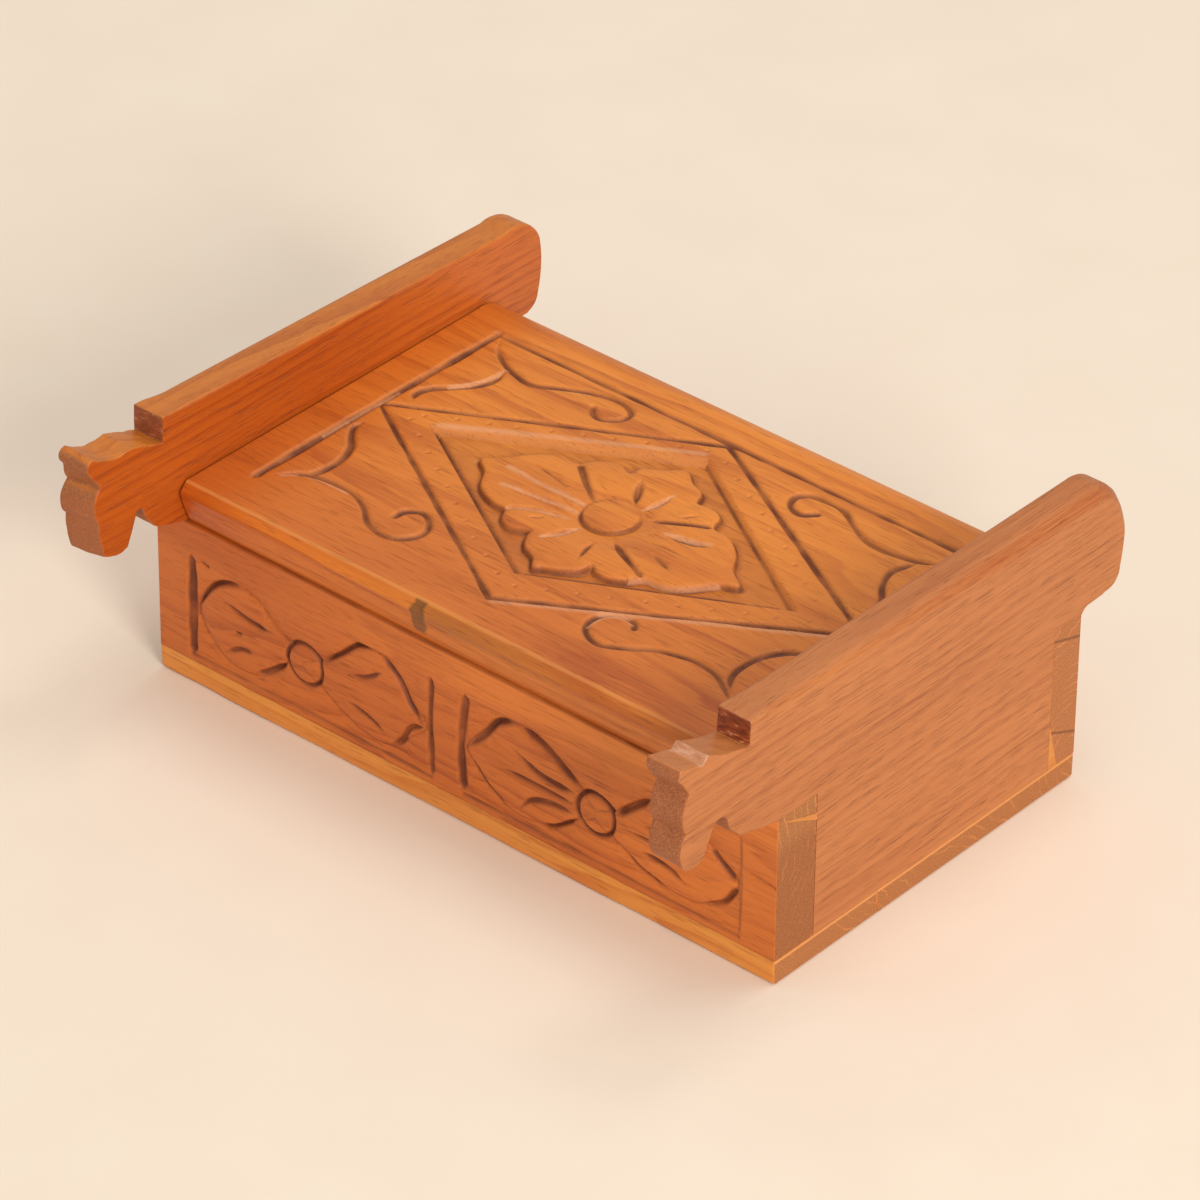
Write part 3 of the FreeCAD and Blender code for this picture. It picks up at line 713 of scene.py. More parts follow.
wedge_wood = Wood("pale wedge wood", "Y", (60.0, 160.0),
                  ((218, 140, 64), (194, 114, 46), (220, 140, 60), (190, 110, 44)), 1.4,
                  shift=400.0, wander=9.0).finished()
peg_wood = Wood("bare peg wood", "X", (60.0, 20.0),
                ((206, 160, 104), (170, 120, 66), (180, 130, 80), (140, 96, 56)), 1.6,
                shift=320.0).finished()


# Lid. The lines of its carving come first, some with a width and a share of painted highlight.

FLOWER = (
    (134.4, 52.6), (130.4, 50), (126, 44.2), (121.6, 41.2), (116, 40.3), (113.4, 37.2),
    (109.4, 35.0), (105.6, 35.4), (103.6, 36.4), (102.8, 33.2), (99, 30.2), (95.6, 28.4),
    (93.6, 27.2), (91, 30.2), (86.6, 32.4), (84.4, 35.6), (83.2, 37.8), (79, 36.0), (75.2, 37.4),
    (72.8, 41), (68.4, 41.6), (62.4, 44.4), (58.6, 50), (54.6, 53.4), (58.4, 57.4), (62.4, 62.6),
    (67.6, 66.4), (73, 66.8), (76, 71), (80.6, 73), (84.8, 71.8), (85.6, 75.2), (90, 78),
    (94, 81.4), (98.6, 78.2), (103, 76.2), (104.8, 72.4), (108.6, 73), (112.8, 71.2), (114.6, 66.8),
    (120, 66), (125.4, 62), (129.2, 56.4))
PETAL_CUTS = (
    [(99.5, 48.4), (107, 44), (115.6, 40.2)], [(87.6, 48.2), (80, 45.4), (73, 41.2)],
    [(87.4, 56.6), (80, 61.6), (73.4, 67)], [(100, 59.6), (107, 62.6), (114.4, 66.6)])
PETAL_VEINS = (
    ([(108, 56.6), (113, 58), (120, 60)], 2.2), ([(104, 52.4), (112, 52.7), (121, 52.9)], 0.8),
    ([(109.6, 49.6), (114, 48.2), (119.4, 45.8)], 1.5), ([(88.6, 71.6), (92, 66), (94.4, 62)], 1.9),
    ([(97.4, 62.4), (98.4, 66), (99.2, 70.4)], 1.6),
    ([(62.4, 54.4), (72, 54.2), (86.6, 54.8)], 1.7), ([(66, 47.8), (75, 49.4), (86.6, 51.4)], 1.7),
    ([(64, 60), (72, 58.6), (80, 56.8)], 1.1), ([(87.4, 36.6), (89.4, 41), (91, 46.6)], 2.0),
    ([(97.4, 44.6), (98.4, 40), (100, 35.8)], 1.4), ([(83, 44.2), (79.4, 41)], 0.9),
    ([(105.6, 64.4), (109.4, 68.2)], 0.9))
SCROLL_STEMS = (
    [(23.5, 15), (26, 18.4), (30, 21), (35, 22), (42, 22), (48, 19.5), (53, 15.5), (58, 13.6),
     (63, 14.5), (66, 18), (66, 22), (63, 25.5), (60, 26.4), (57, 24.2), (56.5, 21)],
    [(23.6, 95), (26, 91.6), (31, 88), (36, 86), (42, 85), (48, 88), (54, 91), (60, 93), (65, 93),
     (68.5, 91), (68.6, 87.4), (65, 84.5), (62, 85), (60, 87)],
    [(166, 13), (160, 17.4), (155, 20.6), (150, 22), (145, 22), (138, 20), (132, 16), (126, 13),
     (121, 14.5), (118.5, 18), (119, 22), (122, 25), (126, 25), (128, 23)],
    [(166, 91.4), (161, 88), (155, 86), (148, 85.5), (143, 86.5), (138, 89), (133, 92), (128, 92.6),
     (123, 92), (120.5, 89), (122, 85.5), (126, 84.4), (129, 87)])
SCROLL_BRANCHES = (
    [(27.6, 18), (30.5, 23), (31, 30), (29, 36), (25.6, 40), (23.6, 43), (24, 46)],
    [(32.6, 87.4), (34.4, 81), (33, 76), (29, 71), (26, 68), (24.5, 64), (26, 61)],
    [(161.4, 17), (157, 22.6), (156, 28), (157, 33.6), (160, 38.4), (164, 41.4), (165.4, 45)],
    [(159.6, 87.6), (157, 80), (159, 74), (162, 70), (164.6, 66), (163.6, 62)])
LIT_FLANKS = (
    ([(62.4, 54.4), (72, 54.2), (85, 54.7)], 2.0, 0.75),
    ([(66, 47.8), (75, 49.4), (86, 51.2)], 1.9, 0.7),
    ([(86.4, 47.6), (80, 45.4), (73.6, 41.5)], 1.7, 0.7),
    ([(87.6, 37.4), (89.4, 41), (91, 46)], 1.8, 0.75),
    ([(108, 57.4), (113, 58.8), (119, 60.6)], 1.5, 0.65),
    ([(97, 62.6), (98.2, 66.4), (99.2, 70.6)], 1.6, 0.65),
    ([(97, 10), (132, 31.2), (167, 52.2)], 2.7, 0.6), ([(93, 89), (65, 73), (38, 57.4)], 2.4, 0.62),
    ([(119.6, 17), (120, 21.4), (122.6, 24), (126, 24.2)], 1.5, 0.85),
    ([(25, 16.2), (29, 19.6), (35, 20.8), (42, 20.8)], 1.3, 0.7),
    ([(33.6, 86), (33.2, 80.6), (31.4, 75.4), (28.4, 71.4)], 1.4, 0.65),
    ([(20.4, 36), (20.7, 50), (21, 62)], 1.2, 0.5), ([(42, 84.2), (48, 87), (56, 90.6)], 1.1, 0.5))


def lid_profile():
    """Front nose, flat top, rear round and underside, as (y, z), with the flat top's range."""
    start = (FRONT + 0.9, WALL_TOP)
    crest = (FRONT - 2.05, 53.9)
    brow = (FRONT - 1.75, 55.05)
    arris = (FRONT + 0.45, LID_TOP)
    top_end = (47.5, LID_TOP)
    rear = (57.2, PIVOT_Z)
    nose = [start] + bend(start, (FRONT - 0.85, 49.75), crest, 14)
    nose += bend(crest, (FRONT - 2.2, 54.55), brow, 6)
    nose += bend(brow, (FRONT - 0.72, 56.2), (FRONT + 0.05, 56.92), 7) + [arris]
    reach = top_end[0] - arris[0]
    count = int(reach / FINE)
    top = [(arris[0] + reach * (n + 1) / count, LID_TOP) for n in range(count)]
    fall = bend(top_end, (54.36, 55.37), rear, 14)
    under = bend(rear, (55.53, 47.17), (PIVOT_Y, WALL_TOP), 12)
    floor = [(PIVOT_Y + (start[0] - PIVOT_Y) * (n + 1) / 12, WALL_TOP) for n in range(11)]
    return np.array(nose + top + fall + under + floor), len(nose) - 1, len(nose) + count


def carve_lid(across, up):
    """The whole carving of the lid's top."""
    c = Carving(across, up)
    # border lines along both ends and the rear
    c.stroke(on_lid([(20.6, 11), (20.8, 50), (21.6, 97)]), 2.6, 1.1, (0.02, 0.0))
    c.stroke(on_lid([(21, 96.7), (95, 96.6), (169, 96.4)]), 2.2, 0.85, (0.0, 0.0))
    c.stroke(on_lid([(168.6, 97), (168.8, 50), (169.2, 11)]), 2.6, 1.1, (0.0, 0.02))
    # outer diamond
    corners = on_lid([(21, 55), (95, 10.6), (168.6, 55), (95, 95.6)])
    for n in range(4):
        c.stroke([corners[n], corners[(n + 1) % 4]], 2.1, 1.0, (0.0, 0.0))
    # sunk ground inside the inner diamond, each side with a slope of its own
    corners = on_lid([(35.5, 56), (93, 21.6), (151.8, 52.8), (95, 88.4)])
    slopes = (1.1, 1.0, 1.5, 2.3)
    sides = []
    for n in range(4):
        (ax, ay), (bx, by) = corners[n], corners[(n + 1) % 4]
        sides.append(((bx - ax) * (c.y - ay) - (by - ay) * (c.x - ax)) / math.hypot(bx - ax, by - ay))
    sloping = np.array([side / slope for side, slope in zip(sides, slopes)])
    nearest_side = np.argmin(sloping, 0)
    within = np.min(sides, 0)
    sunk = np.clip(np.min(sloping, 0), 0, 1)
    # bare wood on the rear-left slope only, a painted highlight where that slope faces the light
    c.bare += 0.6 * ((nearest_side == 3) & (within > 0) & (within < slopes[3]))
    # painted shade inside each edge of the inner diamond, weakest at the rear-left
    for n, middle, half, share in (
            (0, 1.1, 1.3, 1.0), (1, 2.3, 1.1, 0.9), (2, 1.3, 0.9, 0.85), (3, 2.9, 0.6, 0.5)):
        c.paint_shade(band(within, middle, half) * (nearest_side == n), share)
    c.deepen(0.8 * band(within, 1.1, 1.2) * (nearest_side == 0))
    # the flower stands in the ground
    flower = flowing(on_lid(FLOWER), closed=True, steps=5)
    into = c.inside(flower)
    standing = smooth((into + 0.45) / 0.55)
    petals = -0.5 * np.exp(-np.clip(into, 0, None) / 1.1)
    ground = -sunk * (1.6 + 0.12 * ripple(c.x, c.y, 5.0, 4) + 0.05 * ripple(c.x, c.y, 1.7, 5))
    c.form = ground * (1 - standing) + petals * standing
    # the knife line round the foot of the flower
    foot = band(into, -0.8, 0.8) * sunk
    c.deepen(0.45 * foot * (0.75 + 0.25 * ripple(c.x, c.y, 7.0, 6)))
    # painted shade and dirt along the flower's foot, and painted shade over the sunk ground
    c.paint_shade(band(into, -0.5, 0.9) * sunk, 0.95)
    c.paint_shade(sunk * (1 - standing), 0.4)
    # boss, in a bowl, with painted shade at its foot, strongest on its near side
    boss_x, boss_y = on_lid([(93.5, 55)])[0]
    boss_radius = 6.6
    gap = np.hypot(c.x - boss_x, c.y - boss_y)
    bowl = np.clip(1 - (gap - boss_radius) / 12.0, 0, 1) ** 1.6
    c.form -= 1.25 * bowl * smooth((gap - boss_radius + 0.1) / 0.7) * standing
    c.form -= 0.25 * np.clip(gap / boss_radius, 0, 1) ** 3 * (gap < boss_radius + 0.1)
    near_side = (0.5 * (c.x - boss_x) - (c.y - boss_y)) / np.maximum(gap, 0.1)
    boss_foot = band(gap, boss_radius + 0.6, 1.1)
    c.paint_shade(boss_foot * (0.2 + 0.8 * smooth(near_side + 0.5)), 1.0)
    # cuts between the petals
    for line in PETAL_CUTS:
        c.stroke(flowing(on_lid(line)), 2.0, 1.05, (0.3, 0.08))
    # veins
    for line, width in PETAL_VEINS:
        c.stroke(flowing(on_lid(line)), width * 1.25, 0.4 + 0.34 * width, (0.4, 0.4))
    # scrolls in the four corners, each a stem and a branch
    for line in SCROLL_STEMS:
        c.stroke(flowing(on_lid(line)), 2.2, 0.95, (0.14, 0.0))
    for line in SCROLL_BRANCHES:
        c.stroke(flowing(on_lid(line)), 2.4, 1.0, (0.2, 0.1))
    # painted highlights along flanks that catch the light, and along the front of the flower's edge
    for line, width, share in LIT_FLANKS:
        c.paint_highlight_along(flowing(on_lid(line), steps=3), width, share)
    c.paint_highlight(band(into, -0.2, 0.5) * (c.x > 19) * (c.y < FRONT + 50), 0.6)
    # punched dots between the two diamonds
    dotted = on_lid([(28.6, 55.6), (94, 16.4), (160.4, 54), (95, 92)])
    for n in range(4):
        a, b = np.array(dotted[n]), np.array(dotted[(n + 1) % 4])
        count = int(np.linalg.norm(b - a) / 7.5)
        for k in range(count):
            x, y = a + (b - a) * (k + 0.35) / count
            sway = ripple(x, y, 3.0, 9) * 0.5
            c.dot(x + sway, y + sway, 0.62, 0.45)
    return c


def lid_board():
    profile, first, last = lid_profile()
    ease = 0.55
    rings = rings_along_x(profile, LID_HALF, ease, fine_places(LID_HALF, ease))
    carving = carve_lid(across_of(rings), profile[first:last, 0])
    depth = carving.form - carving.cut + 0.05 * ripple(carving.x, carving.y, 14.0, 2)
    rings[:, first:last, 2] += depth * smooth((carving.y - FRONT - 0.3) / 2.0)
    bores = [(right, (PIVOT_Y, PIVOT_Z), 2.05, 8.3) for right in (False, True)]
    board("carved_lid", rings, "lid", "lid", "lid_wood", lid_finish(), bores,
          carving.marks_on(rings, first, last))


lid_board()


# Front panel. The lines of its carving come first, some with a width and a depth.

UPRIGHTS = (
    ([(10.8, 7.8), (10.6, 20), (10.9, 37)], 2.6, 1.2),
    ([(86.8, 8.6), (86.0, 22), (86.6, 36.4)], 2.8, 1.2),
    ([(96.4, 8.8), (95.8, 22), (97.2, 36.6)], 2.8, 1.2),
    ([(179.2, 8.4), (179.4, 22), (179.0, 36.6)], 1.4, 0.48))
LEAVES = (
    [(13.4, 21.4), (17, 29.4), (25, 33.6), (32, 32), (37, 27.4), (42, 25), (46.5, 21.5), (41, 19.6),
     (38, 16.6), (33, 12.2), (26, 10.8), (19.6, 13)],
    [(84.4, 21.2), (80, 25.2), (76, 31), (70, 35.2), (64, 34.4), (58, 29.2), (52, 24.4),
     (46.8, 21.5), (52, 18), (58, 14), (66, 11), (74, 11.4), (78, 15)],
    [(97.6, 22), (102.6, 27.8), (107, 32.8), (113, 34.8), (120, 33), (127, 29), (132, 25.8),
     (136.5, 21.3), (130, 17), (124, 12.4), (116, 10.4), (110, 11), (105, 13.6), (100.4, 18)],
    [(178.4, 22), (174, 25.4), (169, 29.6), (162, 34), (155, 33.6), (148.4, 29.2), (143, 24.8),
     (136.6, 21.3), (145, 15.8), (150, 13), (160, 11), (168, 12), (174, 15.4)])
LEAF_OUTLINES = (
    ([(12.2, 22.4), (17, 29.8), (22, 33), (27, 33.6)], 1.5),
    ([(31, 11.6), (35.4, 14.4), (41, 19)], 1.7),
    ([(52.4, 24.6), (58, 29.4), (64, 34.6), (70, 35.4)], 1.4),
    ([(70, 35.4), (76, 31), (80, 25.2), (84, 21.4)], 1.5),
    ([(84.4, 20.8), (80, 19), (77, 14), (73.6, 11.2)], 1.5),
    ([(97.6, 22), (103, 28), (107, 33), (113, 35)], 1.9),
    ([(113, 35), (120, 33), (127, 29), (132, 26)], 1.6),
    ([(98.6, 19.6), (104, 14), (110.4, 10.8)], 1.4), ([(130.4, 16.8), (124, 12), (119, 10.4)], 1.4),
    ([(142.4, 24), (148, 29), (153, 33)], 1.8), ([(170, 28.6), (174, 25.2), (178.6, 22.4)], 1.6),
    ([(178.4, 21.6), (174.4, 15.4), (168, 12)], 1.6),
    ([(145.6, 15.8), (150, 12.8), (158, 11)], 1.2))
LEAF_VEINS = (
    ([(20.6, 28), (28, 26), (36, 25.4)], 1.8), ([(21, 13.4), (26, 16.4), (31, 17)], 1.5),
    ([(60.4, 25), (66, 26.8), (71.4, 30.6)], 1.4), ([(59.4, 17.4), (66, 16.2), (72, 13.8)], 1.5),
    ([(111, 28.4), (117, 25.4), (124, 24), (130.4, 24.4)], 1.9),
    ([(106, 21.2), (118, 21.2), (131, 21)], 1.2),
    ([(113.4, 11.8), (117, 16), (123, 18), (130.4, 18.4)], 1.8),
    ([(149.4, 17.6), (157, 17.2), (163.4, 15)], 1.6),
    ([(149.6, 25), (156, 25.6), (164, 28.4)], 1.5), ([(144, 21.4), (154, 21.6), (165, 21.8)], 1.1),
    ([(24, 20.4), (27, 21)], 1.0), ([(13.6, 36), (16.4, 35)], 1.3))


def carve_front(across, up):
    """The two carved fields of the front panel."""
    c = Carving(across, up)
    # upright and lower cuts that frame the fields
    for line, width, depth in UPRIGHTS:
        c.stroke(flowing(on_front(line)), width, depth, (0.08, 0.08))
    for x0, x1 in ((10.5, 86.5), (96.5, 179.2)):
        c.stroke(on_front([(x0, 8.2), ((x0 + x1) / 2, 8.5), (x1, 8.2)]), 1.5, 0.6, (0.0, 0.0))
    # leaves, each standing in ground that falls towards it
    into = np.full(c.x.shape, -1e9)
    for leaf in LEAVES:
        np.maximum(into, c.inside(flowing(on_front(leaf), closed=True, steps=5)), out=into)
    field_low, field_high = 8.4, 36.2
    framed = np.zeros(c.x.shape)
    for x0, x1 in ((10.8, 86.5), (96.5, 179.2)):
        from_sides = np.minimum(c.x + HALF_LENGTH - x0, x1 - HALF_LENGTH - c.x)
        edge = np.minimum(from_sides, np.minimum(c.y - field_low, field_high - c.y))
        np.maximum(framed, np.clip(edge / 0.8, 0, 1), out=framed)
    eased = smooth(framed)
    ground = -(0.3 + 0.85 * np.exp(-np.clip(-into, 0, 60) / 2.6)) * eased
    standing = smooth((into + 0.4) / 0.5)
    top = -0.1 - 0.35 * np.exp(-np.clip(into, 0, None) / 1.2)
    c.form = ground * (1 - standing) + top * standing * eased
    c.form -= 0.06 * framed * ripple(c.x, c.y, 4.0, 12)
    # painted shade at the foot of each leaf
    c.paint_shade(band(into, -0.4, 0.7) * eased, 0.55)
    # bosses
    for x, z in on_front([(46.7, 21.5), (136.5, 21.4)]):
        gap = np.hypot(c.x - x, c.y - z)
        crown = gap < 5.4
        c.form[crown] = -0.05 - 0.35 * (gap[crown] / 5.0) ** 3
        c.ring(x, z, 5.5, 1.5, 1.05)
    # the shaded line under the lid
    c.paint_shade((c.y - WALL_TOP + 1.0) / 0.8, 0.6)

    def cut_line(points, width, depth, ends):
        c.stroke(flowing(on_front(points), steps=6), width, depth, ends)

    # a hairline crack in the right post
    cut_line([(180.4, 27.6), (185, 27.0), (189.4, 26.4)], 0.9, 0.66, (0.5, 0.0))
    # outlines that were cut deepest
    for line, width in LEAF_OUTLINES:
        cut_line(line, width * 1.1, 1.1, (0.2, 0.25))
    # veins
    for line, width in LEAF_VEINS:
        cut_line(line, width * 1.15, 0.5 + 0.36 * width, (0.35, 0.25))
    return c


TOP_STEPS = 6


def board_profile(y0, y1, z0, z1, rows, falls):
    """A board's section: up the front face, over the top and back along the underside. The falls
    are the shares of the height at which the rear face has points."""
    rise = [(y0, z0 + (z1 - z0) * s) for s in np.linspace(0, 1, rows)]
    steps = np.linspace(0, 1, TOP_STEPS + 1)
    top = [(y0 + (y1 - y0) * s, z1) for s in steps[1:]]
    fall = [(y1, z1 + (z0 - z1) * s) for s in falls]
    floor = [(y1 + (y0 - y1) * s, z0) for s in steps[1:-1]]
    return np.array(rise + top + fall + floor)


PANEL_EASE = 0.35


def front_board():
    height = WALL_TOP - BASE_TOP
    rows = int(height / FINE)
    falls = [drop / height for drop in (2.5, 5.0, 6.0, 7.0, 15.0, 25.0, 33.0, height)]
    profile = board_profile(FRONT, FRONT_INSIDE, BASE_TOP, WALL_TOP, rows, falls)
    rings = rings_along_x(profile, HALF_LENGTH, PANEL_EASE,
                          with_slot_end(fine_places(HALF_LENGTH, PANEL_EASE)))
    carving = carve_front(across_of(rings), profile[:rows, 1])
    depth = carving.form - carving.cut + 0.04 * ripple(carving.x, carving.y, 16.0, 3)
    rings[:, :rows, 1] -= depth * smooth((WALL_TOP - carving.y) / 2.0)
    rings[:, :rows, 1] += 0.35 * smooth((carving.y - WALL_TOP + 0.7) / 0.7) ** 2
    # the slot for the front wedge: its tip lies near the front face, its mouth in the rear face
    tip = rows + TOP_STEPS + 2
    slotted = in_slot(rings[:, 0, 0])
    rings[slotted, tip, 1:] = (FRONT + 1.4, WALL_TOP - 1.4)
    rings[slotted, tip - 1, 2] = WALL_TOP - 5.0
    rings[slotted, tip + 1, 2] = WALL_TOP - 7.0
    board("carved_front_panel", rings, "box", "front_panel", "panel_wood", front_finish(),
          marks=carving.marks_on(rings, 0, rows))


front_board()


# Back panel and the wedge beside the tongue, at the foot of the panel's right end.

def back_board():
    profile = board_profile(BACK_INSIDE, BACK, BASE_TOP, BACK_TOP, 24,
                            (0.15, 0.3, 0.45, 0.6, 0.75, 0.9, 1))
    rings = rings_along_x(profile, HALF_LENGTH, PANEL_EASE, with_slot_end(np.linspace(-94, 94, 30)))
    y, z = rings[:, :, 1], rings[:, :, 2]
    slot = BACK_INSIDE + REAR_WEDGE_LEAN * np.clip(REAR_WEDGE_TIP - z, 0, REAR_WEDGE_RISE)
    rings[:, :, 1] = np.where(in_slot(rings[:, :, 0]), np.maximum(y, slot), y)
    board("back_board", rings, "box", "back_panel", "panel_wood", back_finish())


def rear_wedge():
    foot = BACK_INSIDE + REAR_WEDGE_LEAN * (REAR_WEDGE_TIP - BASE_TOP)
    points = [(x, y, z) for x in (SLOT_END, HALF_LENGTH)
              for y, z in ((BACK_INSIDE, BASE_TOP), (foot, BASE_TOP), (BACK_INSIDE, REAR_WEDGE_TIP))]
    faces = [(0, 1, 2), (5, 4, 3), (0, 3, 4, 1), (1, 4, 5, 2), (2, 5, 3, 0)]
    piece("rear_wedge_sliver", points, [], faces, "box", "rear_wedge", "wedge_wood", wedge_wood, {})


back_board()
rear_wedge()


# Base boards: worn round along their outer lower edges.

def base_board(name, node, outer_y, wood):
    outward = math.copysign(1, outer_y)
    radius = 0.6
    worn = [(outer_y - outward * radius * (1 - math.cos(t)), radius * (1 - math.sin(t)))
            for t in np.linspace(0, math.pi / 2, 6)]
    section = [(outer_y, BASE_TOP)] + worn + [(BASE_JOINT, 0.0), (BASE_JOINT, BASE_TOP)]
    if outward > 0:
        section = section[::-1]
    rings = rings_along_x(outline([(p,) for p in section], 2.5), HALF_LENGTH, radius,
                          np.linspace(-93, 93, 120))
    x, y, z = rings.transpose(2, 0, 1)
    near = np.clip(1 - np.abs(y - outer_y) / 3.0, 0, 1) * np.clip(1 - z / 4.0, 0, 1)
    wear = near * (0.15 + 0.15 * ripple(x, z, 9.0, 21))
    rings[:, :, 1] = y - outward * wear
    rings[:, :, 2] = np.where(z < 0.01, 0.0, z + 0.3 * wear)
    board(name, rings, "box", node, "base_wood", wood)


base_wood = base_finish()
base_board("front_base_board", "base_front_board", FRONT, base_wood)
base_board("rear_base_board", "base_rear_board", BACK, base_wood)


# End boards with their carved heads and rounded tails.

HEADS = {
    # reach, then the points of the head as shares of the reach and of the rise
    "left": (31.5, [
        ((0.206, 0.98),), ((0.215, 0.77),), ((0.53, 0.88), (0.36, 0.818)), ((0.61, 0.87),),
        ((0.93, 0.968), (0.76, 0.885)), ((0.97, 0.84), (0.993, 0.93)), ((0.875, 0.69),),
        ((0.905, 0.40), (0.955, 0.56)), ((0.86, 0.09), (0.897, 0.24)), ((0.61, 0.06), (0.735, 0.045)),
        ((0.52, 0.27),), ((0.425, 0.265), (0.475, 0.33)), ((0.28, 0.075), (0.36, 0.15))]),
    "right": (34.0, [
        ((0.315, 1.0),), ((0.325, 0.80),), ((0.735, 0.958), (0.51, 0.856)), ((0.78, 0.91),),
        ((1.0, 0.985), (0.88, 0.942)), ((0.985, 0.85), (1.02, 0.92)), ((0.915, 0.735),),
        ((0.937, 0.412), (0.974, 0.56)), ((0.93, 0.115), (0.988, 0.25)), ((0.745, 0.112), (0.84, 0.085)),
        ((0.68, 0.28),), ((0.517, 0.267), (0.60, 0.352)), ((0.387, 0.088), (0.462, 0.165))]),
}
TAILS = {
    # reach and rise from the panel's corner, then the points of the upper corner as shares of them
    "left": (17.3, 27.4, ((0.965, 0.77), (0.76, 0.94), (0.25, 1.0))),
    "right": (15.2, 31.4, ((0.985, 0.68), (0.76, 0.905), (0.2, 1.0))),
}


def end_profile(word):
    """A whole end board as (y, z): head, tongue between the panels, and tail."""
    head_reach, head_steps = HEADS[word]
    tail_reach, tail_rise, (rear_high, round_corner, level) = TAILS[word]

    def head(out, up):
        return (FRONT - head_reach * out, WALL_TOP + BOARD_RISE * up)

    def tail(out, up):
        return (BACK + tail_reach * out, WALL_TOP + tail_rise * up)

    return outline([tuple(head(*point) for point in step) for step in head_steps] + [
        ((FRONT, WALL_TOP),),
        ((FRONT_INSIDE, WALL_TOP),),
        ((FRONT_INSIDE, BASE_TOP),),
        ((BACK_INSIDE, BASE_TOP),),
        ((BACK_INSIDE, BACK_TOP),),
        ((BACK, BACK_TOP),),
        (tail(0.2, 0.04), tail(0.06, 0.024)),
        (tail(0.66, 0.05),),
        (tail(0.93, 0.2), tail(0.84, 0.09)),
        (tail(*rear_high), tail(1.0, 0.5)),
        (tail(*level), tail(*round_corner)),
    ], 0.75)


def end_board(name, node, side, word):
    section = end_profile(word)
    y, z = section[:, 0], section[:, 1]
    into = inward(section)
    # edges: sharp at the tongue, eased above it, and worn round along the top behind the step
    right = word == "right"
    step_y = y[np.argmax(z)] if right else FRONT - 6.5
    high = smooth((z - 60.0) / 12.0) * smooth((y - step_y - 1.5) / 8.0)
    worn = 1.7 + (1.7 * smooth((y + 40.0) / 80.0) if right else 0.0)
    tongue = z < WALL_TOP + 1.5
    outer = np.where(tongue, 0.12, 0.42 + worn * high)
    inner = np.where(tongue, 0.12, 0.42 + 0.4 * high)
    thick = HALF_LENGTH - INNER_FACE
    stations = [(INNER_FACE + inner * round_back(s), inner * s) for s in ROUND_SHARES]
    stations += [(INNER_FACE + inner + (thick - inner - outer) * t, 0.0)
                 for t in np.linspace(0, 1, 10)[1:-1]]
    stations += [(HALF_LENGTH - outer * round_back(s), outer * s) for s in ROUND_SHARES[::-1]]
    # the heads are chopped with a knife, and the left one leans forward on its outer side
    rough = smooth((FRONT - 3.0 - y) / 5.0)
    leaning = 0.0 if right else 1.9 * smooth((FRONT - 14.0 - y) / 9.0) * smooth((72.5 - z) / 4.0)
    run = np.concatenate([[0], np.cumsum(np.linalg.norm(np.diff(section, axis=0), axis=1))])
    rings = np.zeros((len(stations), len(section), 3))
    for ring, (x, inset) in zip(rings, stations):
        chop = rough * (0.16 * ripple(run, x, 2.2, 31 + side) + 0.22 * ripple(run, x, 6.0, 33 + side))
        ring[:, 0] = x * side
        ring[:, 1:] = section + into * (inset + np.maximum(chop, -0.3))[:, None]
        ring[:, 1] -= leaning * (x - INNER_FACE - 2.0) / thick
    if side < 0:
        rings = rings[::-1]
    bore = (side < 0, (PIVOT_Y, PIVOT_Z), 2.0, 6.0)
    board(name, rings, "box", node, "end_wood", end_finish(word), [bore])


end_board("left_head_board", "left_end_board", -1, "left")
end_board("right_head_board", "right_end_board", 1, "right")

for name, wood in (("left_pivot_peg", peg_wood), ("right_pivot_peg", peg_wood),
                   ("front_wedge", wedge_wood)):
    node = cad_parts[name]
    node.data.materials.clear()
    node.data.materials.append(wood)


# Floor, light and camera.

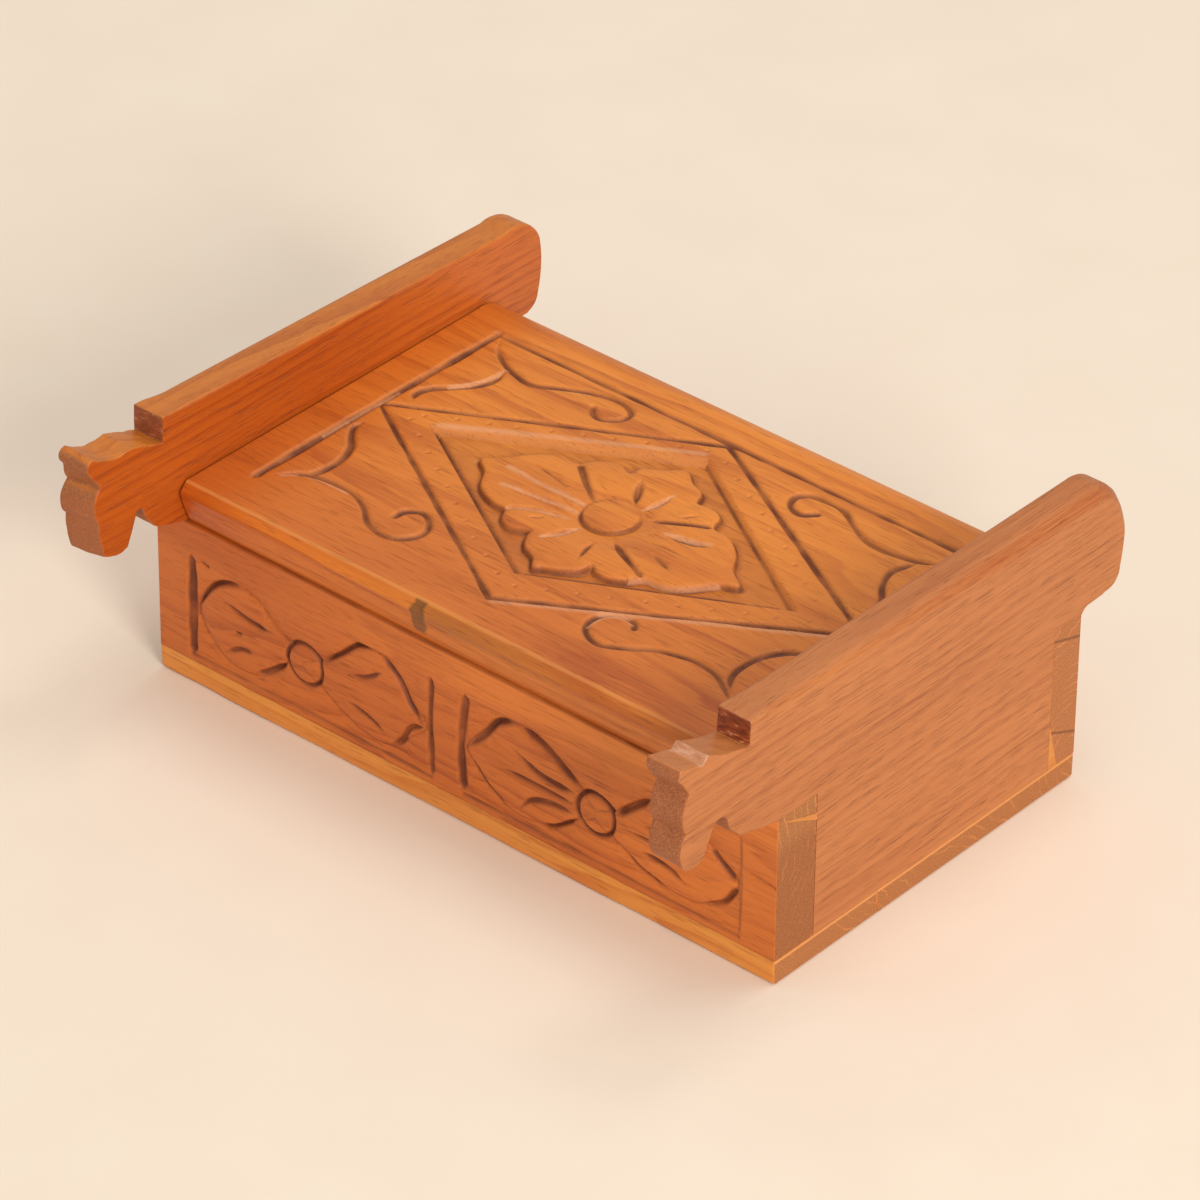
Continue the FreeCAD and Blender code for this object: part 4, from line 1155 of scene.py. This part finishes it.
floor_finish = Finish("pale floor")
floor_place = floor_finish.node("ShaderNodeTexCoord", {}, {}, "Object")
mottle = floor_finish.noise(floor_place, (30.0, 30.0, 30.0), 3.0)
floor_finish.set(Base_Color=floor_finish.mix(mottle, tint(241, 224, 205), tint(245, 231, 213)),
                 Roughness=0.9, Specular_IOR_Level=0.2)
floor_mesh = bpy.data.meshes.new("studio_floor")
reach = 6.0
floor_mesh.from_pydata([(-reach, -reach, 0), (reach, -reach, 0), (reach, reach, 0), (-reach, reach, 0)],
                       [], [(0, 1, 2, 3)])
floor = placed("studio_floor", floor_mesh)
floor.location.z = -0.0002
floor_mesh.materials.append(floor_finish.material)

scene = bpy.context.scene
scene.view_settings.view_transform = "Standard"
world = bpy.data.worlds.new("studio")
scene.world = world
world.use_nodes = True
sky = world.node_tree.nodes["Background"]
sky.inputs["Color"].default_value = (1.0, 0.97, 0.93, 1.0)
sky.inputs["Strength"].default_value = 0.55


def soft_box(name, place, size, power, colour):
    """A round lamp that looks at the middle of the box."""
    lamp = bpy.data.lights.new(name, "AREA")
    lamp.shape = "DISK"
    lamp.size = size
    lamp.energy = power
    lamp.color = colour
    made = placed(name, lamp)
    made.location = place
    made.rotation_mode = "QUATERNION"
    made.rotation_quaternion = (Vector((0, 0, 0.03)) - Vector(place)).to_track_quat("-Z", "Y")


soft_box("right_soft_box", (2.3, -1.15, 1.35), 1.0, 46.0, (1.0, 0.96, 0.9))
soft_box("top_soft_box", (0.3, 0.9, 3.4), 2.0, 34.0, (1.0, 0.98, 0.95))

# The view, by its angles, its distance in millimetres and its focal length in picture pixels.
AZIMUTH = math.radians(40.577)
RAISED = math.radians(33.967)
ROLL = math.radians(0.65)
DISTANCE = 1654.4
ASIDE, UPWARDS = -3.18, 3.37
FOCAL_PIXELS = 7086.0
PICTURE_PIXELS = 1200.0
SENSOR = 36.0
back = Vector((math.sin(AZIMUTH) * math.cos(RAISED), -math.cos(AZIMUTH) * math.cos(RAISED),
               math.sin(RAISED)))
level = Vector((math.cos(AZIMUTH), math.sin(AZIMUTH), 0.0))
upright = back.cross(level)
right = level * math.cos(ROLL) + upright * math.sin(ROLL)
up = upright * math.cos(ROLL) - level * math.sin(ROLL)
lens = bpy.data.cameras.new("view")
lens.sensor_width = SENSOR
lens.lens = FOCAL_PIXELS / PICTURE_PIXELS * SENSOR
lens.clip_end = 50.0
camera = placed("view", lens)
stand = (Vector((0, 0, 30)) + right * ASIDE + up * UPWARDS + back * DISTANCE) * METRE
camera.matrix_world = Matrix.Translation(stand) @ Matrix((right, up, back)).transposed().to_4x4()
scene.camera = camera
